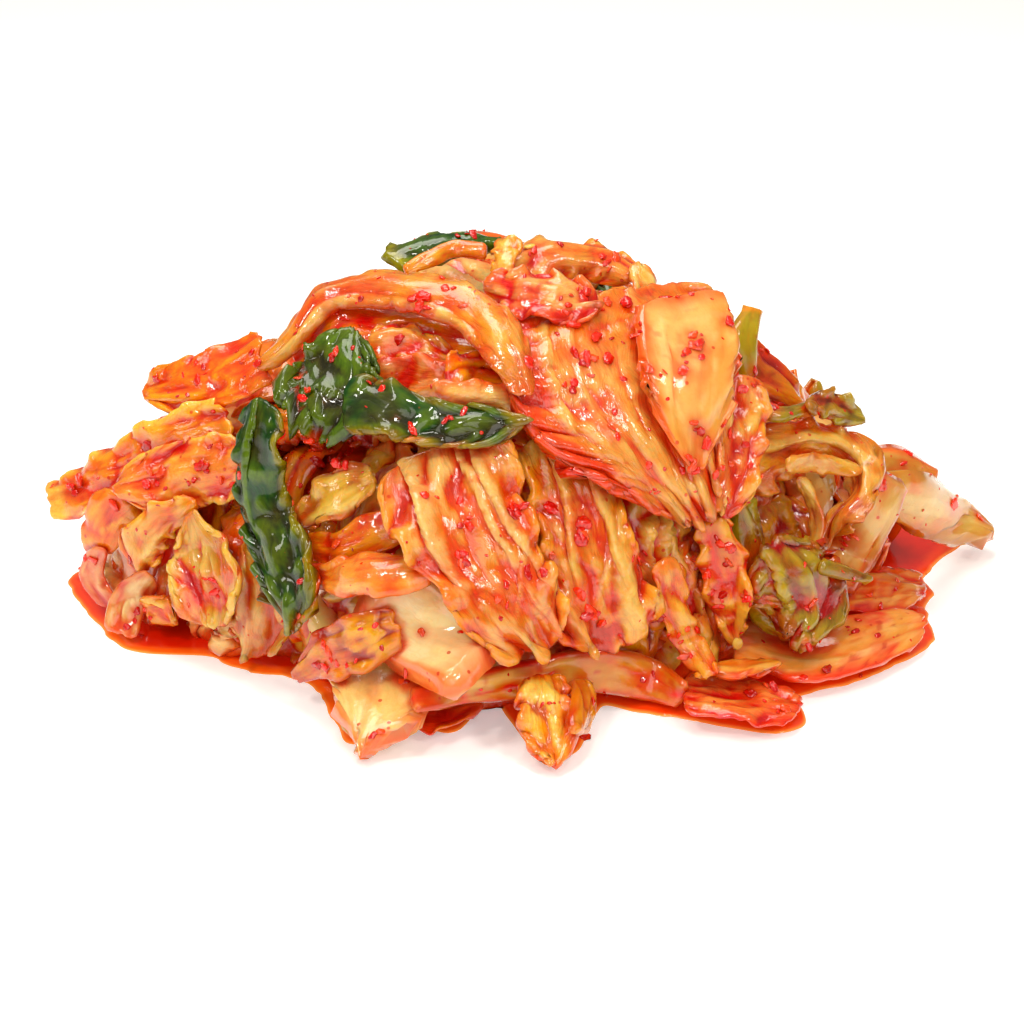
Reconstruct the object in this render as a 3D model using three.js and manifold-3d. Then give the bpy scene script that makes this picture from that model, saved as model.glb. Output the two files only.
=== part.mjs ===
import * as THREE from 'three';
import { mergeVertices } from 'three/addons/utils/BufferGeometryUtils.js';
import Module from 'manifold-3d';

// Kimchi: a heap of wilted napa cabbage leaves and stems in thin chili juice.
// Millimetres, +X to the right of the heap, -Y to its front, +Z up, standing on z = 0.
// About 179 long, 128 deep and 72 high, with the middle of its box over the origin.

const CUT_GAP = 0.3;        // clear gap between pieces that touch
const JUICE_DEPTH = 1.1;    // thickness of the juice puddle
const SHIFT_X = -2.8;     // moves the model so that its box is centred on the origin
const SHIFT_Y = -1.0;
const MIN_LEAF = 1.2;       // thinnest a leaf blade gets

// The tangle under the loose leaves: for stations along X, how far it reaches to the front
// and to the back, where its ridge runs and how high it is.
const HEAP = {
  x:     [-79, -70, -58, -45, -30, -10, 10, 30, 45, 58, 69, 79],
  front: [  2,  -9, -19, -29, -42, -47, -45, -36, -25, -15, -6, 8],
  back:  [ 20,  36,  48,  55,  60,  63,  62,  58,  54,  48, 40, 28],
  ridge: [ 10,  10,   9,   8,   6,   5,   6,   8,  11,  15, 19, 22],
  high:  [ 14,  27,  39,  45,  54,  63,  62,  54,  45,  31, 18,  9],
};
const HEAP_RINGS = 29, HEAP_SPOKES = 29, HEAP_END = 10;
const FOLD_HIGH = 3.0;      // how far the folded leaves of the tangle stand out
const FOLD_PITCH = 26;      // from one fold to the next
const FOOT = 0.76;          // how far the foot draws in under the bulging sides
const FOOT_HIGH = 16;       // and up to what height

// Outline of the juice: radius from its centre for every 20 degrees, counted from +X.
const JUICE_CENTRE = [0, 5];
const JUICE_RADIUS = [
  78.5, 78, 80, 76.5, 82.5, 77.5, 76, 76, 76, 71, 68, 70.5, 66, 63.5, 61, 62.5, 60, 59.5,
  59.5, 60.5, 58.5, 58.5, 62.5, 62, 61, 61, 67.5, 64.5, 66, 67, 73.5, 70, 71.5, 75.5, 78, 83,
  81, 78, 76, 74.5, 70, 59.5, 57.5, 55, 51.5, 50, 51, 54.5, 58, 63, 56.5, 53, 53, 41,
  50, 63.5, 60, 50.5, 46, 50.5, 55, 62.5, 69.5, 69, 63.5, 65.5, 69, 72, 75, 77, 76.5, 76,
];

// Leaves and stems. Each row is one station of a piece from its root to its tip:
// x, y, z of the middle, breadth, heading and slope of the breadth in degrees, crown.
// First come the kind of piece and its thickness.
const PIECES = {
  stem_behind_right: ['rib', 5, [63.2, 3.7, 25.3, 5.6, -93, -53, 0.1], [70, 8.6, 23.3, 5.7, -107, -53, 0.1], [76.6, 12.6, 19.6, 3.3, -116, -40, 0.1]],
  wedge_right: ['rib', 5, [65.8, -2, 23.5, 7, 96, -64, 0], [72.8, 4.7, 19, 9, 136, -72, 0.1], [82.6, 17.7, 9.2, 12.6, -113, -9, 0.2], [90.2, 21.7, 4, 4.4, -111, 0, 0]],
  tongue_upper_left: ['tongue', 1.8, [-65.5, 1.3, 41, 6.2, -75, -27, 0.1], [-58.9, -3.4, 43.9, 10.4, -71, -40, 0.4], [-51.4, -6.5, 47, 12, -63, -36, 0.3], [-42.9, -8.3, 52.1, 11.2, -60, -31, 0]],
  roll_top_right: ['leaf', 1.5, [-1.2, -6.9, 66.3, 7, -68, -24, 2], [3.9, -2.6, 67.8, 8.3, -78, -28, 2.1], [10.8, -0.2, 67.4, 7.9, -92, -30, 2.1], [17.3, 1.1, 66.2, 7, -102, -29, 2.2], [21.8, 0.4, 64.7, 4.8, -109, -26, 2.2]],
  roll_top_green: ['green', 3, [-21.3, -0.6, 67, 5.2, -75, -27, 1.4], [-15.9, 1.2, 68, 6.1, -78, -28, 1.4], [-9.9, 3.2, 68.5, 5.2, -84, -29, 1.4], [-2.1, 4.8, 68.3, 3, -88, -27, 1.4]],
  strip_top_orange: ['tongue', 1.8, [-18.2, -5.4, 66, 1.7, -42, -52, 0], [-13.7, -3.2, 67.8, 2.7, -56, -45, 0.2], [-9.8, -0.6, 68.4, 2.7, -81, -54, 0.2], [-4.5, -1.6, 68.2, 2.5, -100, -57, 0.3]],
  tuft_top: ['leaf', 1.5, [-2.2, -10.7, 66.2, 2.7, -31, -4, 0.3], [-1.3, -8.7, 68.7, 4.2, -31, -2, 0], [-0.5, -3.1, 71.2, 6.1, -22, -5, 0]],
  tuft_top_right: ['leaf', 1.8, [21, -1.3, 65.9, 3, -138, -12, 0.1], [22.9, -5.7, 63.6, 6.1, -136, -2, 0.5], [23.6, -5.8, 59.9, 4, -143, 3, 0]],
  strip_yellow_right: ['leaf', 1.5, [33.3, 8.7, 58.6, 2.5, -125, -13, 0], [35.9, 5, 56.7, 3.2, -130, -10, 0], [38.9, 0, 52.7, 3, -132, -7, 0]],
  leaf_upper_right: ['tongue', 1.5, [41.7, 0.8, 50.4, 3.9, -132, -9, 0], [44.9, -1, 46, 8.4, -131, -15, 0], [50.9, 0.2, 39.9, 3.9, -126, -15, 0]],
  stick_right: ['rib', 2.5, [41.8, 0.6, 56.7, 3.4, -145, 24, 0], [40, -4.9, 54.1, 4.8, -144, 15, 0], [40.6, -6.7, 47.4, 1.9, -159, 4, 0.4]],
  tongue_left: ['tongue', 1.8, [-84.7, 4.7, 19, 8, -71, -27, 0.4], [-77.7, 0.5, 22.4, 9.7, -61, -33, 0.4], [-69.3, -4.7, 28.9, 10.8, -56, -35, 0.4], [-59.4, -9.8, 35.6, 11, -51, -51, 0.3], [-48.6, -14, 41.4, 10.9, -55, -51, 0.1]],
  leaf_fold_left: ['tongue', 2, [-74.5, -4.7, 12.9, 5.4, -31, 3, 0.3], [-72.6, -7.2, 19.4, 7.8, -20, -17, 0.9], [-68.6, -9, 25.4, 8, -23, -27, 1.5]],
  tongue_left_low: ['tongue', 1.8, [-69.2, -10.2, 27.1, 5.7, -71, -29, 1], [-62.9, -12.5, 29.6, 10.3, -63, -53, 0.2], [-55, -15.5, 33.2, 11.7, -63, -66, 0.3], [-45.7, -20.2, 36.3, 10.9, -74, -66, 0.2]],
  leaf_curl_left: ['leaf', 1.5, [-54.2, -19.1, 29.1, 2.4, 149, 57, 0.2], [-60.3, -17.6, 25, 5.9, -156, 59, 1.1], [-64.8, -14.6, 18.9, 8, 172, 17, 0], [-64.5, -13, 13.3, 4.6, 154, -21, 0]],
  strip_pink_left: ['rib', 1.8, [-73.7, -7.6, 15.1, 4, 150, -3, 0.1], [-75.7, -5.1, 8.4, 5.2, 161, -18, 0], [-72.7, -7.6, 3.9, 4.2, 157, -35, 0]],
  strip_white_left: ['rib', 1.8, [-63.3, -14.7, 12.9, 4.6, -148, 52, 0], [-67.8, -12.6, 7.2, 6.3, 175, 30, 0], [-69.5, -15.4, 1.9, 6.5, 149, 0, 0]],
  leaf_small_left: ['leaf', 1.5, [-65.6, -14.9, 8.7, 3.1, 157, -60, 0], [-62.3, -16.2, 7.4, 5.6, 162, -57, 0], [-59.2, -16.8, 4.9, 3.4, 151, -53, 0]],
  leaf_low_left: ['leaf', 1.5, [-44.4, -23.1, 23.8, 9.2, 157, -23, 0], [-42.7, -26.2, 17.7, 13, 155, -18, -0.1], [-42.9, -27.1, 10.5, 13.8, 152, -10, -0.1], [-44, -25.8, 3.1, 9.6, 149, -9, 0]],
  leaf_cup_left: ['leaf', 1.5, [-54.7, -20.4, 27.8, 4.5, 161, -29, -1.7], [-52.7, -19.9, 21.3, 11.8, 152, -26, -2.3], [-51.1, -24.5, 15.9, 15.8, 151, -21, -2.3], [-50.5, -25.3, 8.8, 9.2, 150, -20, -2.2]],
  slab_back_right: ['rib', 2.5, [58.6, -12, 8.5, 11.8, -95, -5, 0], [67.1, -6.8, 6.4, 16.8, -98, -2, 0], [75.3, -0.7, 3, 11.9, -100, 0, 0]],
  stem_diagonal_right: ['rib', 5, [66.9, -7.2, 27.7, 6.6, -153, 35, 0.1], [63.2, -10.8, 22.7, 8.4, -154, 36, 0.4], [60.1, -8.3, 14.6, 8, -179, 34, 0], [56.4, -13.8, 11.7, 7.4, 160, 27, 0]],
  roll_right: ['leaf', 2, [38.1, -23.3, 37.2, 14.6, -26, -66, 2.4], [44.7, -18.9, 37.9, 11.7, -47, -66, 2.3], [52.8, -12.9, 36.9, 8.8, -103, -58, 2.2], [59.4, -10.1, 32.7, 6.3, 165, -48, 2.8], [59.6, -16.8, 29.9, 5.6, 126, -5, 2], [55.4, -18.9, 26.4, 4.8, 122, 2, 2.1], [54.4, -18.1, 20.3, 3.8, -158, 23, 2.2]],
  tongue_roll_right: ['tongue', 3, [46.2, -21.5, 36.8, 3.2, -47, -83, 0.1], [53.1, -16.8, 35.2, 3.4, 74, -89, 0.1], [60, -14.8, 33.2, 3.3, -103, -28, 0]],
  strip_hang_right: ['leaf', 1.5, [49.3, -17.7, 33, 2.5, -142, -9, 0], [51.7, -16.8, 28.4, 2.3, 163, -27, 0], [52.7, -18.9, 23.7, 3, 128, -16, 0], [50.7, -21.1, 18.7, 2.1, 143, 4, 0]],
  stem_green_right: ['greenrib', 2.2, [38.3, -11.5, 48.9, 2.3, -126, -8, 0], [41.1, -11.9, 45.4, 3, -124, -13, 0], [44.9, -16.3, 44, 2.9, -102, -22, 0], [51.7, -10.2, 42.9, 2.7, -87, -21, 0]],
  leaf_tip_green_right: ['greenleaf', 2, [50.6, -13.1, 45.1, 4.3, -99, -24, 0], [54.8, -9.8, 43.5, 5.4, -115, -33, 0], [60.1, -6.1, 39, 5.4, -125, -29, 0]],
  slab_flat_right: ['rib', 2, [38.9, -26.8, 6.5, 9.8, -104, -17, 0.1], [49.5, -28.5, 4.7, 17.8, -96, -4, 0], [60.1, -25.9, 5.7, 12.8, -85, -20, 0.1], [72.6, -16.9, 4.6, 6.2, -73, -45, 0.1]],
  stem_green_low: ['greenrib', 3.5, [38.8, -25.3, 32.2, 3.1, 168, -12, 0], [39.9, -25.7, 24, 5.3, -146, 8, 0], [41.3, -26.4, 16.8, 5.3, -143, 3, 0], [43.9, -27, 11.2, 4.7, -127, -9, 0], [49.7, -25.7, 7.1, 3.9, -117, -15, 0]],
  leaf_crumple_right: ['greenleaf', 2.5, [44.2, -29.3, 25.7, 9.9, -152, -24, 2.5], [48.8, -28.7, 18.9, 16.7, -148, -10, 2.3], [50.4, -28.8, 12.9, 15.4, -153, 19, 2.2], [47.4, -32.9, 9.6, 6.2, -161, 36, 2.3]],
  leaf_red_low_right: ['tongue', 1.8, [29, -42.9, 5, 11.9, -99, 0, 0], [37.8, -44.5, 4, 14.6, -99, 0, 0], [47.1, -45.4, 3, 11.1, -100, 0, 0]],
  stick_low_right: ['rib', 2.5, [34, -40.7, 8, 5, -93, 0, 0], [39.4, -40, 8, 5.4, -93, 0, 0], [44.8, -36.7, 7, 2.9, -92, 0, 0]],
  leaf_dark_low: ['tongue', 1.5, [-17.9, -45.4, 4.1, 7.9, -93, -16, 0], [-12.5, -46.8, 4.1, 10.6, -86, -12, 0], [-5.3, -43.9, 4.1, 5.5, -81, -22, 0]],
  slab_low_front: ['rib', 4.5, [-20.6, -41.5, 8.8, 18.1, 154, 5, 0], [-22.4, -50.3, 6, 16.1, 147, 0, 0], [-24.1, -58.8, 3, 3, 149, 0, 0]],
  strip_long_front: ['rib', 3.5, [-15.7, -54.3, 9.6, 4.6, -79, -15, 0], [-5.2, -49.8, 9.8, 5.6, 61, -75, 0], [4.6, -44.6, 8.7, 5.8, -30, -82, 0], [14.6, -41.6, 8.4, 7.2, -98, -84, 0.1], [23.2, -38.4, 4.9, 6.1, -120, -55, 0], [28.3, -42.5, 4.4, 5.1, 127, -66, 0]],
  leaf_bit_front: ['leaf', 2.5, [4.7, -47.8, 10.3, 7.2, -156, 6, 0], [5.2, -53.5, 7.7, 9.1, -157, 3, 0], [6.3, -57.3, 4, 7.9, -157, 0, 0], [7, -62.4, 2.5, 3.1, -158, 0, 0]],
  leaf_folds_upper: ['leaf', 2, [-23.4, -18.4, 57.4, 5.8, -82, -39, 0.1], [-17.8, -18.9, 58.1, 6.8, -100, -41, 0.1], [-9.9, -21.7, 56.3, 4.4, -112, -41, 0.1]],
  leaf_pink_upper: ['leaf', 1.5, [-22.5, -23.6, 53.9, 5.6, -82, -69, 0.1], [-16, -24.5, 54.5, 6.3, -105, -70, 0.1], [-10.2, -25.8, 53.6, 5.6, -134, -71, 0.1]],
  leaf_crumple_upper: ['leaf', 2, [-10.8, -28.7, 55.8, 7.2, -82, -66, 0.7], [-4.9, -24.7, 54.6, 8.3, -92, -46, 0.1], [2, -24.8, 53.9, 7.2, -97, -46, 0.1]],
  band_cream_upper: ['leaf', 2, [-17.6, -27.6, 51.1, 3, -75, -80, 0.2], [-8.4, -32, 53.4, 5.1, 94, -66, 1.1], [2, -29.8, 51.7, 4, -107, -75, 0.9]],
  leaf_ribbed_left: ['leaf', 1.8, [-35.3, -31.5, 30.9, 3.9, -51, -24, 0], [-29.6, -33.7, 36.6, 7.8, -49, -35, 0.1], [-22.9, -34.5, 40.9, 6.8, -48, -44, 0.1]],
  leaf_fold_orange: ['tongue', 1.8, [-33.9, -33, 27.4, 4.1, -114, -76, 0], [-28, -36.9, 28.6, 5.6, -66, -63, 0], [-22.3, -37.9, 32, 6.6, -50, -55, 0.1], [-17.6, -38.2, 33.6, 4.9, -56, -60, 0]],
  stem_slab_front: ['rib', 6, [-20.5, -44, 24.4, 11.3, -175, -49, 0.3], [-13.7, -46.4, 18.7, 14.1, -168, -50, 0], [-6.1, -53.3, 15.7, 13.9, -118, -13, 0.1]],
  tongue_front: ['tongue', 3, [-35.9, -35, 23.7, 1.5, -176, -77, 0], [-29.8, -41, 25.3, 5, -96, -72, 0], [-22.5, -47.4, 29.3, 7.2, -79, -33, 1.7], [-13.1, -47.6, 31.1, 6.3, -81, -20, 1.5]],
  leaf_brown_front: ['tongue', 2, [-36.7, -39.6, 6.1, 1.8, -49, -36, 0], [-30.8, -44, 12.1, 7.9, -44, -51, 0], [-24.3, -48.6, 17.2, 9.2, -38, -63, 0.1], [-18.4, -49.7, 20.3, 7.2, -36, -64, 0.1]],
  leaf_frill_right: ['leaf', 1.5, [5.9, -30.7, 46.7, 13, -155, -16, 0.3], [10.8, -35.8, 37.7, 15.1, -157, -10, 0.5], [12.8, -39.9, 28.8, 16, -159, -3, 0.6], [14.9, -42.6, 19.7, 18.4, -157, -2, 0.7], [16.5, -43.2, 12.6, 14.4, -155, -1, 0.5]],
  leaf_orange_right: ['tongue', 2, [33.4, -29.6, 30.4, 5, 179, -16, 0], [35.3, -30.6, 23.5, 7.8, -172, -9, 0], [36.5, -31.5, 16.5, 7.1, -178, -8, 0], [38, -29.7, 7.6, 2.7, -155, 4, 0]],
  strip_right_centre: ['leaf', 2, [25.2, -35.6, 25.9, 4.7, -149, 2, 0], [26.9, -37.3, 18.4, 5.5, -148, -1, 0], [29.8, -37, 10.8, 4.9, -155, -17, 0], [32.9, -43.8, 8.5, 4.7, 138, -45, 0]],
  leaf_frill_left: ['leaf', 1.5, [-11.7, -34.9, 46, 22.8, -174, -14, 0.7], [-9, -43.7, 39.2, 23, -155, -12, 0.7], [-4.2, -48, 31.7, 19.1, -148, -17, 0.6], [1, -49.8, 23.3, 16, -149, -23, 0.5], [6.5, -48.1, 15.2, 9.1, -162, -37, 0.2]],
  leaf_side_right: ['leaf', 2, [38.4, -14.5, 50.3, 8.7, -172, 4, 0.3], [37.9, -21.7, 44.3, 10.4, -166, 9, 0.2], [36.7, -26.9, 37.5, 8.8, -171, 12, 0.2], [35.2, -31.2, 31.9, 6, -176, 13, 0.2]],
  leaf_fan: ['leaf', 2.2, [15.8, -11.8, 64.1, 36.4, -155, -4, 1.6], [17.3, -19.6, 59.1, 41.8, -150, -4, 1.1], [20.1, -26.6, 52.2, 39.8, -146, -9, 1], [24.6, -31.5, 44.6, 26.2, -149, -15, 0.5], [31.8, -33.5, 31.4, 5, 180, -31, 0.1]],
  leaf_arch: ['leaf', 1.5, [-43.3, -13.1, 51.7, 3, -51, -21, 1.5], [-37.8, -13.8, 57, 4.7, -48, -17, 1.5], [-33.1, -10.6, 62.6, 6, -56, -24, 1.5], [-25.6, -11.1, 65.3, 6.4, -81, -33, 1.5], [-16.7, -14.9, 66.2, 8.3, -97, -34, 1.5], [-8.2, -19.9, 65.5, 8.9, -118, -32, 1.4], [-1.3, -28.8, 62.4, 8.6, -141, -23, 1.6], [3.2, -35.3, 55.5, 3.9, -146, -13, 1.7]],
  stem_slab_top: ['rib', 3, [28.3, -12.1, 63.1, 16, -150, 1, 0.2], [29.2, -20.8, 58.3, 18.5, -151, 4, -0.1], [29.5, -27.9, 52.7, 15.4, -155, 5, -0.1], [30.4, -34.3, 41.5, 6.1, -159, 4, 0]],
  green_leaf_upper: ['green', 1.5, [-26.5, -19.6, 60.5, 6, 146, 4, 0.1], [-28.3, -25.4, 55.9, 15.4, 147, 7, 0.3], [-31.1, -29.6, 50.5, 17.8, 145, 8, 0.1], [-33.5, -31.2, 45.5, 13.9, 143, 7, -0.1]],
  green_leaf_blade: ['green', 1.5, [-27.3, -32.4, 52.7, 10.3, -99, -48, 0.3], [-20, -35.1, 52.7, 9.2, -107, -47, 0.2], [-12.9, -35.9, 50.6, 7.3, -106, -53, 0.1], [-3.5, -36.6, 50.2, 6.7, -88, -54, 0.1], [2.6, -37, 51.4, 2, -73, -58, 0.1]],
  green_leaf_branch: ['green', 1.5, [-41.3, -25.9, 50.1, 8.6, 143, -9, 0], [-42, -28.5, 42.6, 9.9, 145, -13, 0], [-41.7, -28.9, 33.8, 10.6, 156, -21, 0], [-38.4, -35.2, 27.1, 13, 149, -27, -0.1], [-36, -39.5, 20.4, 10.3, 147, -22, 0], [-36.5, -38.7, 14, 2.9, 141, -16, 0]],
};

// How each kind is formed: ripple is the depth of the wavy margin, waves its count, pleat the
// depth of the folds that run with the leaf, folds their count, round how far the thickness
// falls to the margin, dish the hollow of a stem's inner face.
const FORM = {
  leaf:      { ripple: 0.9, waves: 3, pleat: 0.5, folds: 2.5, round: 0.35, dish: 0.0 },
  tongue:    { ripple: 0.5, waves: 2, pleat: 0.3, folds: 1.5, round: 0.45, dish: 0.2 },
  rib:       { ripple: 0.0, waves: 0, pleat: 0.0, folds: 0.0, round: 0.30, dish: 0.6 },
  green:     { ripple: 0.7, waves: 2, pleat: 0.4, folds: 2.0, round: 0.35, dish: 0.0 },
  greenleaf: { ripple: 1.0, waves: 3, pleat: 0.6, folds: 2.5, round: 0.35, dish: 0.0 },
  greenrib:  { ripple: 0.0, waves: 0, pleat: 0.0, folds: 0.0, round: 0.40, dish: 0.2 },
};

const COLOURS = {
  heap: 0xd8632a, juice: 0xd0480f, leaf: 0xe98f45, tongue: 0xf08a3a, rib: 0xf3c48c,
  green: 0x3f5a2a, greenleaf: 0x9c8a3a, greenrib: 0xa9a24a,
};
const material = (name, roughness = 0.35) =>
  new THREE.MeshStandardMaterial({ color: COLOURS[name], roughness, metalness: 0 });

// Smooth curve through evenly spaced rows of numbers.
function along(rows, t) {
  const n = rows.length;
  const i = Math.min(Math.max(Math.floor(t), 0), n - 2);
  const s = t - i;
  const slope = (k, c) => {
    if (k === 0) return rows[1][c] - rows[0][c];
    if (k === n - 1) return rows[k][c] - rows[k - 1][c];
    return (rows[k + 1][c] - rows[k - 1][c]) / 2;
  };
  return rows[0].map((_, c) =>
    (1 + 2 * s) * (1 - s) ** 2 * rows[i][c] + s * (1 - s) ** 2 * slope(i, c)
    + s * s * (3 - 2 * s) * rows[i + 1][c] + s * s * (s - 1) * slope(i + 1, c));
}

// One station of a piece: middle, half breadth as a vector, outward normal, crown.
function frames(rows) {
  const out = rows.map(([x, y, z, breadth, heading, slope, crown]) => {
    const h = THREE.MathUtils.degToRad(heading), e = THREE.MathUtils.degToRad(slope), b = breadth / 2;
    return [x, y, z, b * Math.cos(e) * Math.cos(h), b * Math.cos(e) * Math.sin(h), b * Math.sin(e), crown];
  });
  return out;
}

// A bent, rippled sheet with thickness, as a closed body.
function pieceGeometry(name, grow = 0) {
  const [kind, thick, ...rows] = PIECES[name];
  const form = FORM[kind];
  const stations = frames(rows);
  const last = stations.length - 1;
  const broad = Math.max(...rows.map((r) => r[3]));
  let length = 0;
  for (let i = 1; i <= last; i++) {
    length += Math.hypot(rows[i][0] - rows[i - 1][0], rows[i][1] - rows[i - 1][1], rows[i][2] - rows[i - 1][2]);
  }
  const nu = length > 40 ? 7 : 5;
  const nv = broad > 20 ? 6 : broad > 9 ? 4 : broad > 4.5 ? 3 : 2;
  const phase = name.length * 1.7 + name.charCodeAt(name.length - 2);
  const box = new THREE.BoxGeometry(1, 1, 1, nu, nv, 1);
  box.deleteAttribute('normal');
  box.deleteAttribute('uv');
  const geometry = mergeVertices(box, 1e-4);
  const pos = geometry.attributes.position;
  const sheet = (u, v) => {
    const f = along(stations, u * last);
    const mid = new THREE.Vector3(f[0], f[1], f[2]);
    const half = new THREE.Vector3(f[3], f[4], f[5]);
    const d = 1e-3;
    const f0 = along(stations, Math.max(u - d, 0) * last), f1 = along(stations, Math.min(u + d, 1) * last);
    const tangent = new THREE.Vector3(f1[0] - f0[0], f1[1] - f0[1], f1[2] - f0[2]).normalize();
    const reach = half.length();
    const side = half.clone().divideScalar(reach);
    const normal = new THREE.Vector3().crossVectors(side, tangent).normalize();
    if (normal.dot(new THREE.Vector3(0, -0.9, 0.4)) < 0) normal.negate();
    const edge = Math.abs(v);
    const ripple = form.ripple * Math.min(1, broad / 12) * edge * edge * Math.sin(2 * Math.PI * form.waves * u + phase + (v > 0 ? 1.3 : 0));
    const pleat = form.pleat * Math.min(1, broad / 12) * Math.cos(Math.PI * form.folds * v + phase) * Math.sin(Math.PI * Math.min(u * 1.2, 1));
    const p = mid.addScaledVector(side, v * (reach + grow));
    p.addScaledVector(normal, -f[6] * v * v + ripple + pleat);
    p.addScaledVector(tangent, (u - 0.5) * 2 * grow);
    return { p, normal };
  };
  for (let i = 0; i < pos.count; i++) {
    const u = pos.getX(i) + 0.5, v = pos.getY(i) * 2, face = pos.getZ(i) > 0 ? 1 : -1;
    const { p, normal } = sheet(u, v);
    const thin = 1 - form.round * v * v * v * v;
    const half = Math.max(MIN_LEAF, thick * thin) / 2 + grow;
    const dish = face > 0 ? form.dish * Math.min(1, broad / 10) * (1 - v * v) : 0;
    p.addScaledVector(normal, face * half - (grow > 0 ? 0 : dish));
    pos.setXYZ(i, p.x, Math.max(-1e4, p.y), p.z);
  }
  geometry.computeVertexNormals();
  return geometry;
}

// The tangle: rings round an axis along X, flat below, lumpy above.
function heapGeometry() {
  const ball = new THREE.SphereGeometry(1, HEAP_SPOKES, HEAP_RINGS);
  ball.deleteAttribute('normal');
  ball.deleteAttribute('uv');
  const geometry = mergeVertices(ball, 1e-4);
  const pos = geometry.attributes.position;
  const n = HEAP.x.length, x0 = HEAP.x[0], x1 = HEAP.x[n - 1];
  const rows = HEAP.x.map((x, i) => [HEAP.front[i], HEAP.back[i], HEAP.ridge[i], HEAP.high[i]]);
  for (let i = 0; i < pos.count; i++) {
    const polar = Math.acos(THREE.MathUtils.clamp(pos.getY(i), -1, 1));
    const turn = Math.atan2(pos.getZ(i), pos.getX(i));
    const x = x0 + (x1 - x0) * (1 - Math.cos(polar)) / 2;
    let k = 0;
    while (k < n - 2 && HEAP.x[k + 1] < x) k++;
    const [front, back, ridge, high] = along(rows, k + (x - HEAP.x[k]) / (HEAP.x[k + 1] - HEAP.x[k]));
    const end = Math.min(1, Math.min(x - x0, x1 - x) / HEAP_END);
    const scale = Math.sqrt(Math.max(0, 1 - (1 - end) ** 2));
    const c = Math.cos(turn), s = Math.max(0, Math.sin(turn));
    const reach = c < 0 ? ridge - front : back - ridge;
    // rounded folds with sharp valleys, wandering over the tangle
    const girth = turn * 46;
    const turnOf = Math.PI / FOLD_PITCH;
    const wave = Math.abs(Math.sin((x * 0.9 + girth * 0.45) * turnOf + Math.sin(girth / 19 + 1) * 0.9))
      + Math.abs(Math.sin((x * 0.35 - girth * 0.8) * turnOf + Math.sin(x / 21) * 1.1 + 2));
    const relief = FOLD_HIGH * (wave - 1.25) * Math.min(1, s * 4);
    const z = s > 0 ? Math.max(0, (high * scale + relief) * s) : 0;
    const under = 1 - Math.min(1, z / FOOT_HIGH);
    const foot = 1 - (1 - FOOT) * under * under;
    const y = ridge + Math.sign(c) * (reach * Math.abs(c) * scale + relief * Math.abs(c)) * foot;
    const across = (x0 + x1) / 2 + (x - (x0 + x1) / 2) * (1 - 0.09 * under * under);
    pos.setXYZ(i, across, y, z);
  }
  const merged = mergeVertices(geometry, 1e-3);
  merged.computeVertexNormals();
  return merged;
}

// The puddle: a closed outline through the radii, pulled up by its depth.
function juiceGeometry(grow = 0) {
  const shape = new THREE.Shape();
  const steps = JUICE_RADIUS.length;
  for (let i = 0; i < steps; i++) {
    const turn = (i / steps) * 2 * Math.PI, radius = JUICE_RADIUS[i] + grow;
    const x = JUICE_CENTRE[0] + radius * Math.cos(turn), y = JUICE_CENTRE[1] + radius * Math.sin(turn);
    if (i === 0) shape.moveTo(x, y); else shape.lineTo(x, y);
  }
  shape.closePath();
  const geometry = new THREE.ExtrudeGeometry(shape, { depth: JUICE_DEPTH + grow * 2, bevelEnabled: false });
  return geometry.translate(0, 0, -grow);
}

const wasm = await Module();
wasm.setup();

function solid(geometry) {
  const g = geometry.clone();
  g.deleteAttribute('normal');
  g.deleteAttribute('uv');
  const m = mergeVertices(g, 1e-4);
  const index = m.index.array;
  const make = (triVerts) => new wasm.Manifold(new wasm.Mesh({ numProp: 3, vertProperties: new Float32Array(m.attributes.position.array), triVerts }));
  // drop triangles that merging has closed up
  const keep = [];
  for (let i = 0; i < index.length; i += 3) {
    const [a, b, c] = [index[i], index[i + 1], index[i + 2]];
    if (a !== b && b !== c && c !== a) keep.push(a, b, c);
  }
  let body = make(new Uint32Array(keep));
  if (body.volume() < 0) {
    const turned = [];
    for (let i = 0; i < keep.length; i += 3) turned.push(keep[i], keep[i + 2], keep[i + 1]);
    body = make(new Uint32Array(turned));
  }
  return body;
}

function largest(body) {
  const parts = body.decompose();
  let best = parts[0];
  for (const p of parts) if (p.volume() > best.volume()) best = p;
  return best;
}

function toMesh(name, body, mat) {
  const m = body.getMesh();
  const geometry = new THREE.BufferGeometry();
  geometry.setAttribute('position', new THREE.BufferAttribute(new Float32Array(m.vertProperties), 3));
  geometry.setIndex(new THREE.BufferAttribute(new Uint32Array(m.triVerts), 1));
  geometry.computeVertexNormals();
  const mesh = new THREE.Mesh(geometry, mat);
  mesh.name = name;
  return mesh;
}

const kimchi = new THREE.Group();
kimchi.position.set(SHIFT_X, SHIFT_Y, 0);

// Pieces are laid from the inside out, so each one is cut back by the ones listed after it.
const names = Object.keys(PIECES);
const bodies = new Map();
for (const name of names) bodies.set(name, solid(pieceGeometry(name)));
const grown = new Map();
for (const name of names) grown.set(name, solid(pieceGeometry(name, CUT_GAP)).add(bodies.get(name)));
const floor = solid(new THREE.BoxGeometry(400, 400, 100).translate(0, 0, -50 + CUT_GAP / 2));

const apart = (a, b) => {
  const p = a.boundingBox(), q = b.boundingBox();
  return [0, 1, 2].some((k) => p.max[k] < q.min[k] || q.max[k] < p.min[k]);
};

let heap = solid(heapGeometry());
const juiceRoom = solid(juiceGeometry(CUT_GAP));
const cut = new Map();
names.forEach((name, i) => {
  let body = bodies.get(name).subtract(floor).subtract(juiceRoom);
  for (const later of names.slice(i + 1)) {
    const tool = grown.get(later);
    if (!apart(body, tool)) body = body.subtract(tool);
  }
  cut.set(name, largest(body));
  heap = heap.subtract(grown.get(name));
});
heap = largest(largest(heap).simplify(0.2));
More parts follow.
